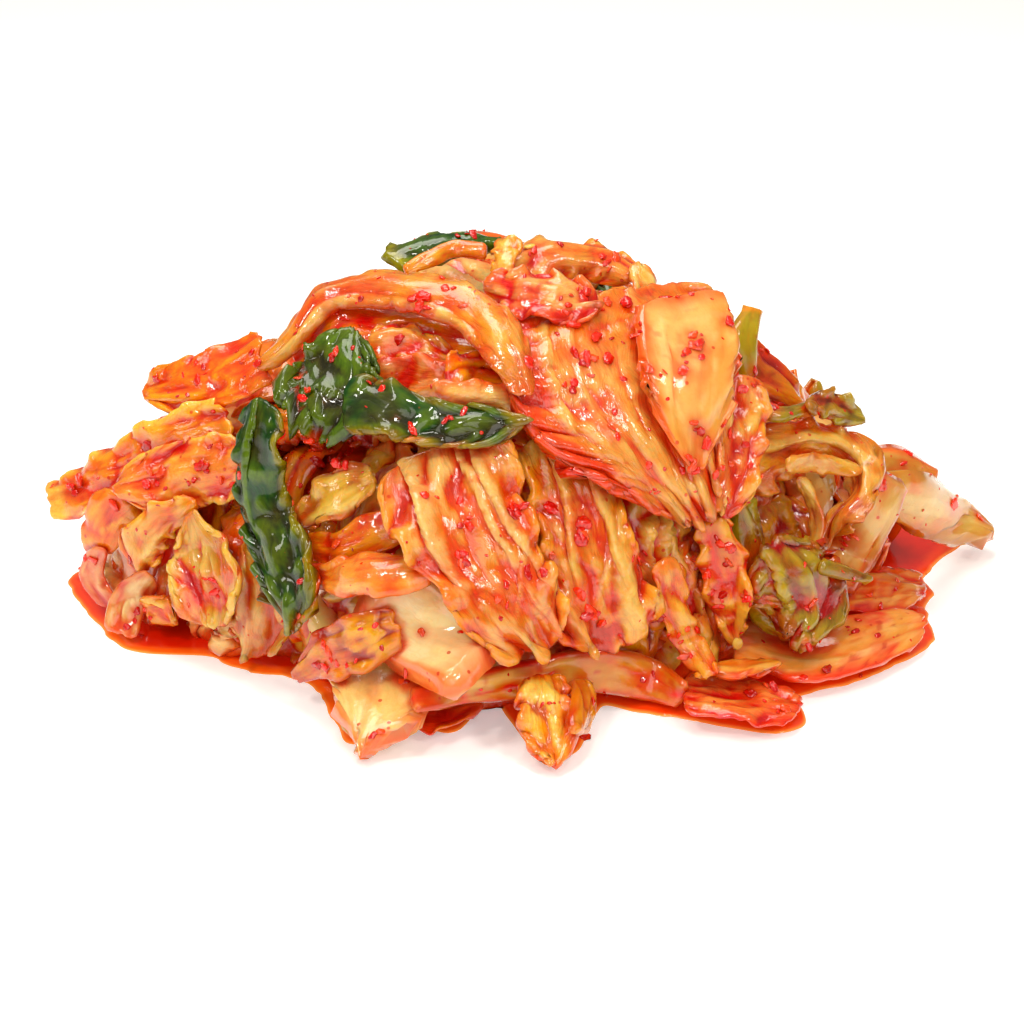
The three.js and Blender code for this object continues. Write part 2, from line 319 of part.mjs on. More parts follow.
// Room for the tangle's foot in the juice: its section is star shaped, so a small scaling clears it.
const heapRoom = solid(heapGeometry().translate(0, -8, 0).scale(1.012, 1.012, 1).translate(0, 8, -0.05));
const juice = largest(solid(juiceGeometry()).subtract(heapRoom).simplify(0.05));

kimchi.add(toMesh('heap', heap, material('heap', 0.4)));
kimchi.add(toMesh('juice', juice, material('juice', 0.1)));
for (const name of names) {
  kimchi.add(toMesh(name, cut.get(name), material(PIECES[name][0])));
}

export default kimchi;
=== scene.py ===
import bpy
import math
import numpy as np
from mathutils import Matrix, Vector
from mathutils.bvhtree import BVHTree


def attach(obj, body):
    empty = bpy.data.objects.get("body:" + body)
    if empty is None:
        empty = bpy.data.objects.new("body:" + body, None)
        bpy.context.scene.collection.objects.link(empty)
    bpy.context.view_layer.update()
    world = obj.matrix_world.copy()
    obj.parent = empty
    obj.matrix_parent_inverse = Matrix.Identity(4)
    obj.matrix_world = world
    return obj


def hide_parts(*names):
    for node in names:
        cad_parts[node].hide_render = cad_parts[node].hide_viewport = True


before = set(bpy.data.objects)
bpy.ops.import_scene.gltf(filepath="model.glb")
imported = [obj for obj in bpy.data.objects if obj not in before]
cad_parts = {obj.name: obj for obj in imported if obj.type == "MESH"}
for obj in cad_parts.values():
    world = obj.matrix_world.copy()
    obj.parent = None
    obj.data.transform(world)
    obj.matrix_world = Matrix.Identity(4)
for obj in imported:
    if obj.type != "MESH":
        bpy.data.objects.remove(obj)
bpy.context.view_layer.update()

MM = 0.001
SHIFT = np.array([-2.8, -1.0, 0.0])      # the tables below are in the heap's own millimetres
UP = np.array([0.0, 0.0, 1.0])
TOWARD = np.array([0.0, -0.914, 0.407])  # what the front faces

# ------------------------------------------------------------------ camera (first: flakes use its rays)
ELEV = math.radians(24.0)
DIST = 436.0
LENS, SENSOR = 85.0, 36.0
TARGET = np.array([0.0, 0.0, 18.7]) + SHIFT
BACK = np.array([0.0, -math.cos(ELEV), math.sin(ELEV)])
EYE = TARGET + DIST * BACK
cam_data = bpy.data.cameras.new("camera")
cam_data.lens = LENS
cam_data.sensor_width = SENSOR
cam_data.clip_start = 0.01
cam_data.clip_end = 20
cam = bpy.data.objects.new("camera", cam_data)
bpy.context.scene.collection.objects.link(cam)
cam.location = (EYE * MM).tolist()
cam.rotation_euler = Vector((-BACK).tolist()).to_track_quat("-Z", "Y").to_euler()
bpy.context.scene.camera = cam


def pixel_ray(px, py):
    """Direction through a point of the 1024 x 1024 frame."""
    f = LENS / SENSOR * 1024
    right = np.array([1.0, 0, 0])
    up = np.cross(right, -BACK)
    d = -BACK * f + right * (px - 512) - up * (py - 512)
    return d / np.linalg.norm(d)


# ------------------------------------------------------------------ noise in numpy
def _hash(ix, iy, seed):
    n = (ix.astype(np.int64) * 374761393 + iy.astype(np.int64) * 668265263 + int(seed) * 1442695041) & 0xFFFFFFFF
    n = ((n ^ (n >> 13)) * 1274126177) & 0xFFFFFFFF
    n = ((n ^ (n >> 15)) * 2246822519) & 0xFFFFFFFF
    return ((n ^ (n >> 16)) & 0xFFFF) / 65535.0


def vn(x, y, seed=0):
    """Value noise, 0 to 1."""
    x, y = np.broadcast_arrays(np.asarray(x, float), np.asarray(y, float))
    ix, iy = np.floor(x), np.floor(y)
    fx, fy = x - ix, y - iy
    fx = fx * fx * fx * (fx * (fx * 6 - 15) + 10)
    fy = fy * fy * fy * (fy * (fy * 6 - 15) + 10)
    a, b = _hash(ix, iy, seed), _hash(ix + 1, iy, seed)
    c, d = _hash(ix, iy + 1, seed), _hash(ix + 1, iy + 1, seed)
    return (a * (1 - fx) + b * fx) * (1 - fy) + (c * (1 - fx) + d * fx) * fy


def fbm(x, y, seed=0, octaves=3):
    total, amp, norm = 0.0, 1.0, 0.0
    for i in range(octaves):
        total = total + amp * vn(x * 2 ** i + 17.3 * i, y * 2 ** i - 9.1 * i, seed + i)
        norm += amp
        amp *= 0.5
    return total / norm


def ridged(x, y, seed=0, octaves=3):
    """Rounded ridges with creases, 0 to 1."""
    total, amp, norm = 0.0, 1.0, 0.0
    for i in range(octaves):
        total = total + amp * np.abs(2 * vn(x * 2 ** i + 5.7 * i, y * 2 ** i + 3.3 * i, seed + 7 * i) - 1)
        norm += amp
        amp *= 0.5
    return np.clip(total / norm * 1.6, 0, 1)


def cells(x, y, seed=0):
    """Distance to the nearest and second nearest cell point."""
    x, y = np.broadcast_arrays(np.asarray(x, float), np.asarray(y, float))
    ix, iy = np.floor(x), np.floor(y)
    f1 = np.full(x.shape, 9.0)
    f2 = np.full(x.shape, 9.0)
    for dx in (-1, 0, 1):
        for dy in (-1, 0, 1):
            cx, cy = ix + dx, iy + dy
            px = cx + 0.15 + 0.7 * _hash(cx, cy, seed)
            py = cy + 0.15 + 0.7 * _hash(cx, cy, seed + 31)
            d = np.hypot(px - x, py - y)
            f2 = np.minimum(f2, np.maximum(f1, d))
            f1 = np.minimum(f1, d)
    return f1, f2


def smooth(x, a, b):
    t = np.clip((x - a) / (b - a), 0, 1)
    return t * t * (3 - 2 * t)


def blur(a, r):
    """Gaussian blur of a 2-D array, r in samples."""
    r = max(0.5, float(r))
    n = int(math.ceil(2 * r))
    k = np.exp(-0.5 * (np.arange(-n, n + 1) / r) ** 2)
    k /= k.sum()
    for ax in (0, 1):
        pad = [(n, n) if i == ax else (0, 0) for i in (0, 1)]
        p = np.pad(a, pad, mode="edge")
        out = np.zeros_like(a)
        for i, w in enumerate(k):
            sl = [slice(None), slice(None)]
            sl[ax] = slice(i, i + a.shape[ax])
            out += w * p[tuple(sl)]
        a = out
    return a


def grow_max(a, n=1):
    for _ in range(n):
        p = np.pad(a, 1, mode="edge")
        a = np.maximum.reduce([p[1:-1, 1:-1], p[:-2, 1:-1], p[2:, 1:-1], p[1:-1, :-2], p[1:-1, 2:]])
    return a


def srgb(c):
    c = np.asarray(c, float) / 255.0
    return np.where(c <= 0.04045, c / 12.92, ((c + 0.055) / 1.055) ** 2.4)


def mix(a, b, m):
    return a + (b - a) * m[..., None]


def unit(v):
    return v / np.maximum(np.linalg.norm(v, axis=-1, keepdims=True), 1e-9)


# ------------------------------------------------------------------ mesh building
BVH_V, BVH_F = [], []                    # what flakes can lie on
PAINTED = []                             # and what they stain


def add_mesh(name, v, f, col, mat, body="root", stands_for=(), solid=True):
    me = bpy.data.meshes.new(name)
    v = np.asarray(v, np.float32)
    f = np.asarray(f, np.int32)
    me.vertices.add(len(v))
    me.vertices.foreach_set("co", (v * MM).ravel())
    me.loops.add(f.size)
    me.loops.foreach_set("vertex_index", f.ravel())
    me.polygons.add(len(f))
    me.polygons.foreach_set("loop_start", np.arange(len(f), dtype=np.int32) * f.shape[1])
    me.update(calc_edges=True)
    me.shade_smooth()
    ca = me.color_attributes.new("Col", "FLOAT_COLOR", "POINT")
    c = np.ones((len(v), 4), np.float32)
    c[:, :3] = col[:, :3]
    c[:, 3] = col[:, 3] if col.shape[1] > 3 else 0.6
    ca.data.foreach_set("color", c.ravel())
    if col.shape[1] > 6:
        ga = me.attributes.new("grain", "FLOAT_VECTOR", "POINT")
        ga.data.foreach_set("vector", np.asarray(col[:, 4:7], np.float32).ravel())
    me.materials.append(mat)
    ob = bpy.data.objects.new(name, me)
    bpy.context.scene.collection.objects.link(ob)
    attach(ob, body)
    nodes = [n for n in stands_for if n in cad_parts]
    if nodes:
        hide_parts(*nodes)
    if solid:
        base = sum(len(x) for x in BVH_V)
        BVH_V.append(v.astype(float))
        BVH_F.append(f + base)
        PAINTED.append((ob, v.astype(float), np.asarray(col, float), f))
    return ob


def shell(mid, normal, half_u, half_d, side_push):
    """A closed body round a grid of mid points: vertices, quads, and which of the grid each vertex is."""
    nu, nv = mid.shape[:2]
    top = mid + normal * half_u[..., None]
    bot = mid - normal * half_d[..., None]
    idx = np.arange(nu * nv).reshape(nu, nv)
    q = np.stack([idx[:-1, :-1], idx[1:, :-1], idx[1:, 1:], idx[:-1, 1:]], -1).reshape(-1, 4)
    # border loop
    loop = np.concatenate([idx[:, 0], idx[-1, 1:], idx[-2::-1, -1], idx[0, -2:0:-1]])
    du = np.gradient(mid, axis=0)
    dv = np.gradient(mid, axis=1)
    out = np.zeros_like(mid)
    out[:, 0] -= unit(dv[:, 0])
    out[:, -1] += unit(dv[:, -1])
    out[0] -= unit(du[0])
    out[-1] += unit(du[-1])
    out = unit(out)
    flat_mid, flat_out = mid.reshape(-1, 3), out.reshape(-1, 3)
    hu, hd = half_u.ravel(), half_d.ravel()
    rim = flat_mid[loop] + normal.reshape(-1, 3)[loop] * ((hu - hd) / 2)[loop, None] + flat_out[loop] * (side_push * (hu + hd)[loop] / 2)[:, None]
    n = nu * nv
    v = np.concatenate([top.reshape(-1, 3), bot.reshape(-1, 3), rim])
    k = len(loop)
    a, b = np.arange(k), (np.arange(k) + 1) % k
    s1 = np.stack([loop[b], loop[a], 2 * n + a, 2 * n + b], -1)
    s2 = np.stack([2 * n + b, 2 * n + a, n + loop[a], n + loop[b]], -1)
    f = np.concatenate([q, q[:, ::-1] + n, s1, s2])
    which = np.concatenate([np.arange(n), np.arange(n), loop])
    part = np.concatenate([np.zeros(n, int), np.ones(n, int), np.full(k, 2)])
    # turn all faces out
    c = v.mean(0)
    a, b, d, e = (v[f[:, k]] - c for k in range(4))
    if (np.cross(a, b) * d).sum() + (np.cross(a, d) * e).sum() < 0:
        f = f[:, ::-1]
    return v, f, which, part

# ------------------------------------------------------------------ colours (sRGB as seen)
PAL = {
    "cream":  dict(base=(236, 176, 112), pale=(250, 214, 160), stain=(232, 112, 40), deep=(202, 66, 12), rim=(236, 118, 40)),
    "leaf":   dict(base=(222, 130, 62), pale=(244, 188, 124), stain=(226, 84, 22), deep=(198, 48, 8), rim=(238, 160, 82)),
    "orange": dict(base=(232, 118, 44), pale=(248, 176, 98), stain=(226, 74, 14), deep=(200, 46, 8), rim=(244, 150, 64)),
    "yellow": dict(base=(218, 152, 72), pale=(242, 200, 120), stain=(222, 96, 28), deep=(188, 56, 12), rim=(236, 176, 84)),
    "pink":   dict(base=(226, 130, 84), pale=(244, 188, 144), stain=(222, 78, 32), deep=(196, 48, 12), rim=(234, 132, 66)),
    "brown":  dict(base=(196, 110, 48), pale=(228, 160, 88), stain=(188, 64, 16), deep=(154, 40, 8), rim=(212, 130, 54)),
    "red":    dict(base=(214, 66, 22), pale=(236, 126, 68), stain=(200, 36, 10), deep=(160, 18, 3), rim=(234, 88, 34)),
    "green":  dict(base=(66, 86, 42), pale=(110, 124, 62), stain=(84, 66, 34), deep=(38, 46, 26), rim=(112, 118, 58)),
    "olive":  dict(base=(142, 120, 56), pale=(192, 170, 100), stain=(166, 72, 26), deep=(92, 42, 10), rim=(166, 146, 72)),
}


def dye(c):
    """A colour as seen, less the light that the wet surface adds."""
    l = srgb(c)
    g = l.mean()
    l = (g + (l - g) * 1.16) * np.array([0.96, 1.02, 0.85])
    return np.clip(l * 0.95 - 0.055, 0.001, 0.97)


PAL = {k: {n: dye(c) for n, c in p.items()} for k, p in PAL.items()}

# kind: how a piece is folded and coloured. Lengths in mm.
#  vein: spacing, height and width of the raised veins; conv: how much they draw together at the root
#  und: soft folds (height, along, across); crm: creases of a crumpled sheet; wrk: fine wrinkles
#  blister: quilted bumps (height, size); frill: wave of the sides and of the tip, and its length
#  rag: raggedness of the margin, ends: roundness of both ends, hem: thicker rolled margin
#  edge: share of the thickness left at the margin
STYLE = {
    "leaf":      dict(pal="leaf", vein=(4.4, 0.8, 0.45), conv=0.5, und=(1.5, 16, 6), crm=(0.9, 10, 5), wrk=(0.28, 8, 1.3), blister=(0.0, 2.6), frill=(0.9, 1.2, 8), rag=0.06, ends=(0.15, 0.3), hem=0.2, edge=0.7, stain=0.5, step=0.55),
    "tongue":    dict(pal="orange", vein=(5.0, 0.35, 0.6), conv=0.3, und=(1.0, 14, 7), crm=(0.8, 10, 6), wrk=(0.3, 9, 1.3), blister=(0.0, 3), frill=(0.5, 0.4, 11), rag=0.08, ends=(0.06, 0.12), hem=0.0, edge=0.6, stain=0.5, step=0.55),
    "rib":       dict(pal="cream", vein=(6.0, 0.2, 1.2), conv=0.1, und=(0.35, 16, 7), crm=(0.35, 12, 6), wrk=(0.15, 11, 1.4), blister=(0.0, 3), frill=(0.1, 0.1, 14), rag=0.035, ends=(0.03, 0.05), hem=0.0, edge=0.85, stain=0.25, step=0.6),
    "green":     dict(pal="green", vein=(6.0, 0.5, 0.4), conv=0.3, und=(2.2, 9, 6), crm=(1.3, 8, 6), wrk=(0.25, 5, 2.2), blister=(0.0, 2.6), frill=(1.2, 1.0, 8), rag=0.16, ends=(0.2, 0.6), hem=0.0, edge=0.7, stain=0.2, step=0.5),
    "greenleaf": dict(pal="olive", vein=(5.5, 0.6, 0.45), conv=0.3, und=(2.2, 8, 6), crm=(1.5, 7, 5), wrk=(0.3, 4, 1.9), blister=(0.0, 2.8), frill=(1.4, 1.3, 7), rag=0.14, ends=(0.3, 0.5), hem=0.2, edge=0.7, stain=0.45, step=0.5),
    "greenrib":  dict(pal="olive", vein=(2.4, 0.3, 0.6), conv=0.1, und=(0.3, 8, 3), crm=(0.2, 8, 3), wrk=(0.15, 5, 1.4), blister=(0.0, 3), frill=(0.1, 0.1, 9), rag=0.05, ends=(0.1, 0.4), hem=0.0, edge=0.7, stain=0.35, step=0.45),
}


def herm(rows, t):
    rows = np.asarray(rows, float)
    n = len(rows)
    m = np.empty_like(rows)
    m[0], m[-1] = rows[1] - rows[0], rows[-1] - rows[-2]
    if n > 2:
        m[1:-1] = (rows[2:] - rows[:-2]) / 2
    i = np.clip(np.floor(t).astype(int), 0, n - 2)
    s = (t - i)[..., None]
    return (1 + 2 * s) * (1 - s) ** 2 * rows[i] + s * (1 - s) ** 2 * m[i] + s * s * (3 - 2 * s) * rows[i + 1] + s * s * (s - 1) * m[i + 1]


def station_frames(rows):
    out = []
    for x, y, z, b, head, slope, crown in rows:
        h, e = math.radians(head), math.radians(slope)
        out.append([x + SHIFT[0], y + SHIFT[1], z, b / 2 * math.cos(e) * math.cos(h), b / 2 * math.cos(e) * math.sin(h), b / 2 * math.sin(e), crown])
    return np.array(out)


class Path:
    """A piece's middle surface from its stations, spread evenly by length."""

    def __init__(self, rows):
        self.st = station_frames(rows)
        self.n = len(self.st)
        t = np.linspace(0, self.n - 1, 200)
        p = herm(self.st, t)[:, :3]
        d = np.concatenate([[0], np.cumsum(np.linalg.norm(np.diff(p, axis=0), axis=1))])
        self.length = d[-1]
        self.t, self.d = t, d / d[-1]
        self.broad = max(r[3] for r in rows)

    def at(self, u, v):
        """Points for u 0..1 along and v -1..1 across (any shape)."""
        over = np.where(u < 0, u, np.where(u > 1, u - 1, 0)) * self.length
        uc = np.clip(u, 0, 1)
        t = np.interp(uc, self.d, self.t)
        f = herm(self.st, t)
        e = 1e-3
        fa, fb = herm(self.st, np.maximum(t - e, 0)), herm(self.st, np.minimum(t + e, self.n - 1))
        tan = unit(fb[..., :3] - fa[..., :3])
        half = f[..., 3:6]
        nrm = unit(np.cross(half, tan))
        flip = np.sign(nrm @ TOWARD)[..., None]
        nrm = nrm * np.where(flip == 0, 1, flip)
        p = f[..., :3] + half * v[..., None] + tan * over[..., None] - nrm * (f[..., 6] * v * v)[..., None]
        return p


def relief(s, t, tw, local, u, v, st, seed, broad, length):
    """Heights of the veins, folds, wrinkles and blisters in mm, sideways pull, and the veins' mask."""
    g = np.random.default_rng(seed)
    k = min(1.0, broad / 9.0)
    sp, vh, vw = st["vein"]
    n = int(round(broad / sp))
    vein = np.zeros_like(s)
    push = np.zeros_like(s)
    conv = st["conv"]
    cs = []
    for i in range(n):
        c = -1 + 2 * (i + 0.5) / n + g.normal(0, 0.45 / n)
        u0 = -0.3 if g.random() < 0.55 else g.uniform(0.05, 0.55)
        u1 = 1.4 if g.random() < 0.6 else g.uniform(0.55, 1.05)
        tc = c * broad / 2 * ((1 - conv) + conv * smooth(u, -0.05, 0.9))
        tc = tc + 2.2 * (fbm(s / 10, np.full_like(s, i * 7.3), seed + i, 2) - 0.5) * min(1.5, broad / 12)
        if cs and u0 > 0 and g.random() < 0.7:
            parent = cs[g.integers(0, len(cs))]
            tc = parent + (tc - parent) * smooth(u, u0, u0 + 0.35)
        cs.append(tc)
        w = vw * g.uniform(0.55, 1.5)
        hh = vh * k * g.uniform(0.4, 1.35) * (0.35 + 1.3 * vn(s / 9, np.full_like(s, i * 3.1), seed + i * 5))
        hh = hh * (1 + 0.10 * (vn(s / 1.1, s * 0 + i, seed + 9) - 0.5))
        side = g.choice([-1, 1])
        d = (t - tc) / w
        prof = np.exp(-np.abs(d) ** 1.8 * np.where(d * side > 0, 1.3, 0.22)) - 0.3 * np.exp(-((d * side - 1.7) / 0.55) ** 2)
        fade = smooth(u, u0, u0 + 0.2) * smooth(-u, -u1, -u1 + 0.2)
        hk = hh * prof * fade * (1 - st.get("calm", 0.5) * smooth(u, 0.55, 0.9))
        hk = hk * (1 + 0.12 * np.sin(6.28 * s / 1.9 + 16 * vn(s / 4, t / 3, seed + 4 * i)) * smooth(np.maximum(hk, 0), 0.15, 0.6))
        vein = np.where(hk < 0, vein + hk, np.maximum(vein, hk) + 0.3 * np.minimum(vein, np.maximum(hk, 0)))
        push = push + side * 0.7 * np.maximum(hk, 0)
    t, tv = tw, t
    calm = 0.35 + 0.65 * local
    a, la, lb = st["und"]
    warp = 1.4 * (fbm(s / 11, t / 9, seed + 21, 2) - 0.5)
    h_und = calm * a * max(k, 0.4) * 2 * (fbm(s / la + warp, t / lb + warp, seed + 5, 2) - 0.5)
    a, la, lb = st["wrk"]
    h_wrk = a * (ridged(s / la + warp, t / lb + 1.6 * warp, seed + 7, 2) - 0.5)
    a, la, lb = st["crm"]
    r1 = np.abs(2 * vn(s / la + 0.5 * warp + 3, t / lb + 0.8 * warp, seed + 15) - 1)
    r2 = np.abs(2 * vn(s / (0.6 * la) - 0.5 * warp, t / (0.7 * lb) + 0.6 * warp + 8, seed + 16) - 1)
    h_wrk = calm * h_wrk + calm * a * max(k, 0.5) * (np.sqrt(r1 * r1 + 0.01) - 0.8 * np.sqrt(r2 * r2 + 0.008))
    ba, bs = st["blister"]
    h_bl = 0.0
    if ba:
        f1, f2 = cells(s / bs + 0.5 * warp, t / bs, seed + 41)
        h_bl = ba * (np.clip(f2 - f1, 0, 0.6) / 0.6 - 0.5)
    t = tv
    fs, fe, fl = st["frill"]
    e = np.abs(v)
    side = np.where(v > 0, 1.0, 0.0)
    ph = 6.28 * vn(side * 5.1 + 0.5, seed * 0.37 + 0.5, seed) + 2.6 * (fbm(s / 9, side * 3, seed + 51, 2) - 0.5) * 2
    wave = np.sin(2 * np.pi * s / fl + ph) + 0.4 * np.sin(2 * np.pi * s / (fl * 0.43) + 2 * ph)
    rf = smooth(e, 0.4, 1.0) ** 1.5 * k
    h_fr = fs * rf * wave
    push = push - 0.7 * fs * rf * np.cos(2 * np.pi * s / fl + ph) * np.sign(v)
    pe = 3.0 * (fbm(t / 8, t * 0 + 3, seed + 61, 2) - 0.5) * 2
    re = smooth(u, 0.72, 1.0) ** 1.4 * k
    h_fr = h_fr + fe * re * (np.sin(2 * np.pi * t / fl + pe) + 0.35 * np.sin(2 * np.pi * t / (fl * 0.45) + 2 * pe))
    push = push + 0.75 * fe * re * np.cos(2 * np.pi * t / fl + pe)
    return vein + h_und + h_wrk + h_bl, h_fr, push, vein / max(vh, 1e-3)


def paint(h, s, t, u, v, st, seed, vein, step):
    """Linear colours for the grid, and how wet it is. Raised parts and crests are painted paler (painted light);
    hollows are redder and darker (pooled juice and painted shade).
    """
    p = PAL[st["pal"]]
    shape = h.shape
    low = blur(h, 1.8 / step)
    cav = np.clip((low - h) / 0.4, -1, 1)
    near = blur(h, 0.8 / step)
    crest_painted_light = np.clip((h - near) / 0.12, 0, 1)
    patch = fbm(s / 7 + 3, t / 4.5, seed + 61, 3)
    patch2 = fbm(s / 20, t / 14, seed + 71, 2)
    blot = fbm(s / 2.6 + 5, t / 1.9, seed + 65, 2)
    fine = fbm(s / 1.4, t / 1.0, seed + 81, 2)
    stain = st["stain"] + st.get("staingrad", 0.0) * (u - 0.5) * 2
    col = np.broadcast_to(p["base"], shape + (3,)).copy()
    glaze = p["base"] * 0.45 + p["stain"] * 0.55
    col = mix(col, glaze, smooth(patch + 0.2 * (blot - 0.5), 0.35, 0.68) * np.clip(0.3 + stain, 0, 0.85))
    # paler along the veins, which is their own paler tissue, and where raised, which is painted light on the tops
    top = 0.55 * smooth(-cav, 0.05, 0.7) + 0.5 * smooth(vein, 0.3, 1.0) + 0.5 * smooth(patch2, 0.52, 0.7) + 0.35 * smooth(blot, 0.55, 0.75) + st.get("palew", 0.0)
    col = mix(col, p["pale"], np.clip(top, 0, 1) * 0.8)
    strand = np.abs(2 * vn(s / 14, t / 0.7, seed + 91) - 1) ** 2
    col = mix(col, p["pale"], 0.25 * smooth(strand, 0.5, 1.0))
    # painted light: the crests of the fine relief are paler
    col = mix(col, p["pale"], 0.4 * crest_painted_light)
    rimw = st.get("rim", (1.0, 1.0))
    endw = st.get("rimend", (0.5, 0.5))
    wide = st.get("rimwide", 0.28)
    uneven = 0.35 * (patch - 0.5) + 0.3 * (blot - 0.5)
    m = np.maximum.reduce([
        rimw[0] * smooth(-v + uneven * wide, 1 - wide, 0.98), rimw[1] * smooth(v + uneven * wide, 1 - wide, 0.98),
        endw[0] * smooth(1 - u, 0.86, 1.0), endw[1] * smooth(u, 0.86, 1.0)])
    col = mix(col, p["rim"], np.clip(m + 0.25 * (patch - 0.5), 0, 1) * st.get("rimk", 0.8))
    # hollows redder: juice that pools in them, and painted shade of the folds
    sm_ = np.clip(0.95 * smooth(cav, 0.0, 0.55) + 0.6 * smooth(patch + 0.2 * (blot - 0.5), 0.56 - 0.15 * stain, 0.86 - 0.12 * stain), 0, 1)
    col = mix(col, p["stain"], sm_ * np.clip(0.2 + stain * 1.4, 0, 1))
    # painted shade: the deepest hollows go to the deep colour, which is also juice-dark there
    deep = smooth(cav + 0.4 * (blot - 0.5), 0.3, 0.85) * smooth(patch2 + 0.3 * (patch - 0.5), 0.25, 0.55)
    col = mix(col, p["deep"], deep * np.clip(0.2 + stain * 1.6, 0, 0.95))
    spots = smooth(vn(s / 1.7 + 31, t / 1.7, seed + 67) + 0.25 * (patch - 0.5), 0.86, 0.93)
    col = mix(col, p["deep"], spots * np.clip(stain * 1.2, 0, 0.7))
    col = col * (0.92 + 0.16 * fine)[..., None]
    wet = np.clip(0.35 + 0.5 * sm_ + 1.2 * (patch2 - 0.5), 0, 1)
    return np.concatenate([np.clip(col, 0.001, 0.98), wet[..., None]], -1)


def grow_piece(sheet, length, broad, thick, st, seed, outward=None, lift=0.0):
    """Folds, thickens and paints a sheet. sheet(u, v) gives its middle surface."""
    step = st["step"]
    nu = int(np.clip(length / step, 8, 150)) + 1
    nv = int(np.clip(broad / step, 7, 110)) + 1
    u0, v = np.meshgrid(np.linspace(0, 1, nu), np.linspace(-1, 1, nv), indexing="ij")
    asp = broad / 2 / max(length, 1e-6)
    e0, e1 = st["ends"]
    arc = 1 - np.sqrt(np.clip(1 - v * v, 0, 1))
    rag = st["rag"]
    jag0 = (fbm(v * broad / 5 + 7, v * 0 + seed * 0.13, seed + 101, 3) - 0.5) * 2 * rag * broad / length
    jag1 = (fbm(v * broad / 4 + 3, v * 0 + seed * 0.19, seed + 111, 3) - 0.5) * 2.6 * rag * broad / length
    a = np.clip(e0 * 2.2 * asp, 0, 0.45) * arc + jag0
    b = 1 - np.clip(e1 * 2.2 * asp, 0, 0.45) * arc + jag1 + st.get("skew", 0.0) * v * asp
    u = a + (b - a) * u0
    sidev = np.where(v > 0, 1.0, 0.0)
    jag = 1 + rag * 2.4 * (fbm(u0 * length / 5.5, sidev * 9 + 0.5, seed + 121, 3) - 0.5) * smooth(np.abs(v), 0.3, 1)
    vv = v * jag
    p = sheet(u, vv)
    du = np.gradient(p, axis=0)
    dv = np.gradient(p, axis=1)
    nrm = unit(np.cross(dv, du))
    ref = TOWARD if outward is None else outward
    if (nrm @ ref).mean() < 0:
        nrm = -nrm
    s = np.concatenate([np.zeros((1, nv)), np.cumsum(np.linalg.norm(du[1:], axis=-1), 0)])
    s = np.broadcast_to(s[:, nv // 2: nv // 2 + 1], s.shape)
    t = vv * broad / 2
    # folds and marks keep their size where the piece narrows; only the veins draw together
    local = np.linalg.norm(np.diff(p, axis=1), axis=-1).sum(1)
    local = np.clip(local / local.max(), 0.12, 1.0)[:, None]
    tw = t * local ** 0.85
    h, ruf, push, vein = relief(s, t, tw, local, u0, v, st, seed, broad, length)
    taper = smooth(u0, -0.05, 0.16) * 0.65 + 0.35
    h = h * taper
    curl = st.get("curl", (0, 0))
    total = h + ruf + lift + curl[0] * smooth(-v, 0.3, 1.0) ** 2 + curl[1] * smooth(v, 0.3, 1.0) ** 2
    q = p + nrm * total[..., None] + unit(dv) * push[..., None]
    du = np.gradient(q, axis=0)
    dv = np.gradient(q, axis=1)
    n2 = unit(np.cross(dv, du))
    n2 = n2 * np.sign((n2 * nrm).sum(-1).mean())
    e = np.abs(v)
    th = thick * (1 - (1 - st["edge"]) * e ** 4)
    melt = st.get("melt")
    if melt:
        th = th * (1 - 0.75 * smooth(u0, melt, 1.0))
        q = q - n2 * (0.37 * thick * smooth(u0, melt, 1.0))[..., None]
    th = th + st["hem"] * np.exp(-((e - 0.95) / 0.06) ** 2)
    th = th + st["hem"] * 0.8 * np.exp(-((u0 - 0.98) / 0.03) ** 2)
    vtx, f, which, part = shell(q, n2, th / 2, th / 2, 0.9)
    col = paint(h + 0.5 * ruf, s, tw, u0, v, st, seed, vein, step).reshape(-1, 4)[which]
    if thick > 2.6:
        m = (part == 2) * 0.85
        col = col + (np.append(PAL[st["pal"]]["rim"], 0.6) - col) * m[:, None]
    wx = 2.0 * (fbm(s / 4, tw / 4, seed + 141, 2) - 0.5)
    grain = np.stack([s + 3 * wx, tw + 1.3 * wx, np.full_like(s, seed % 97)], -1).reshape(-1, 3)[which]
    col = np.concatenate([col, grain], 1)
    vtx[:, 2] = np.maximum(vtx[:, 2], 0.25)
    return vtx, f, col


# ------------------------------------------------------------------ materials
def new_material(name):
    m = bpy.data.materials.new(name)
    m.use_nodes = True
    nt = m.node_tree
    nt.nodes.clear()
    return m, nt.nodes, nt.links


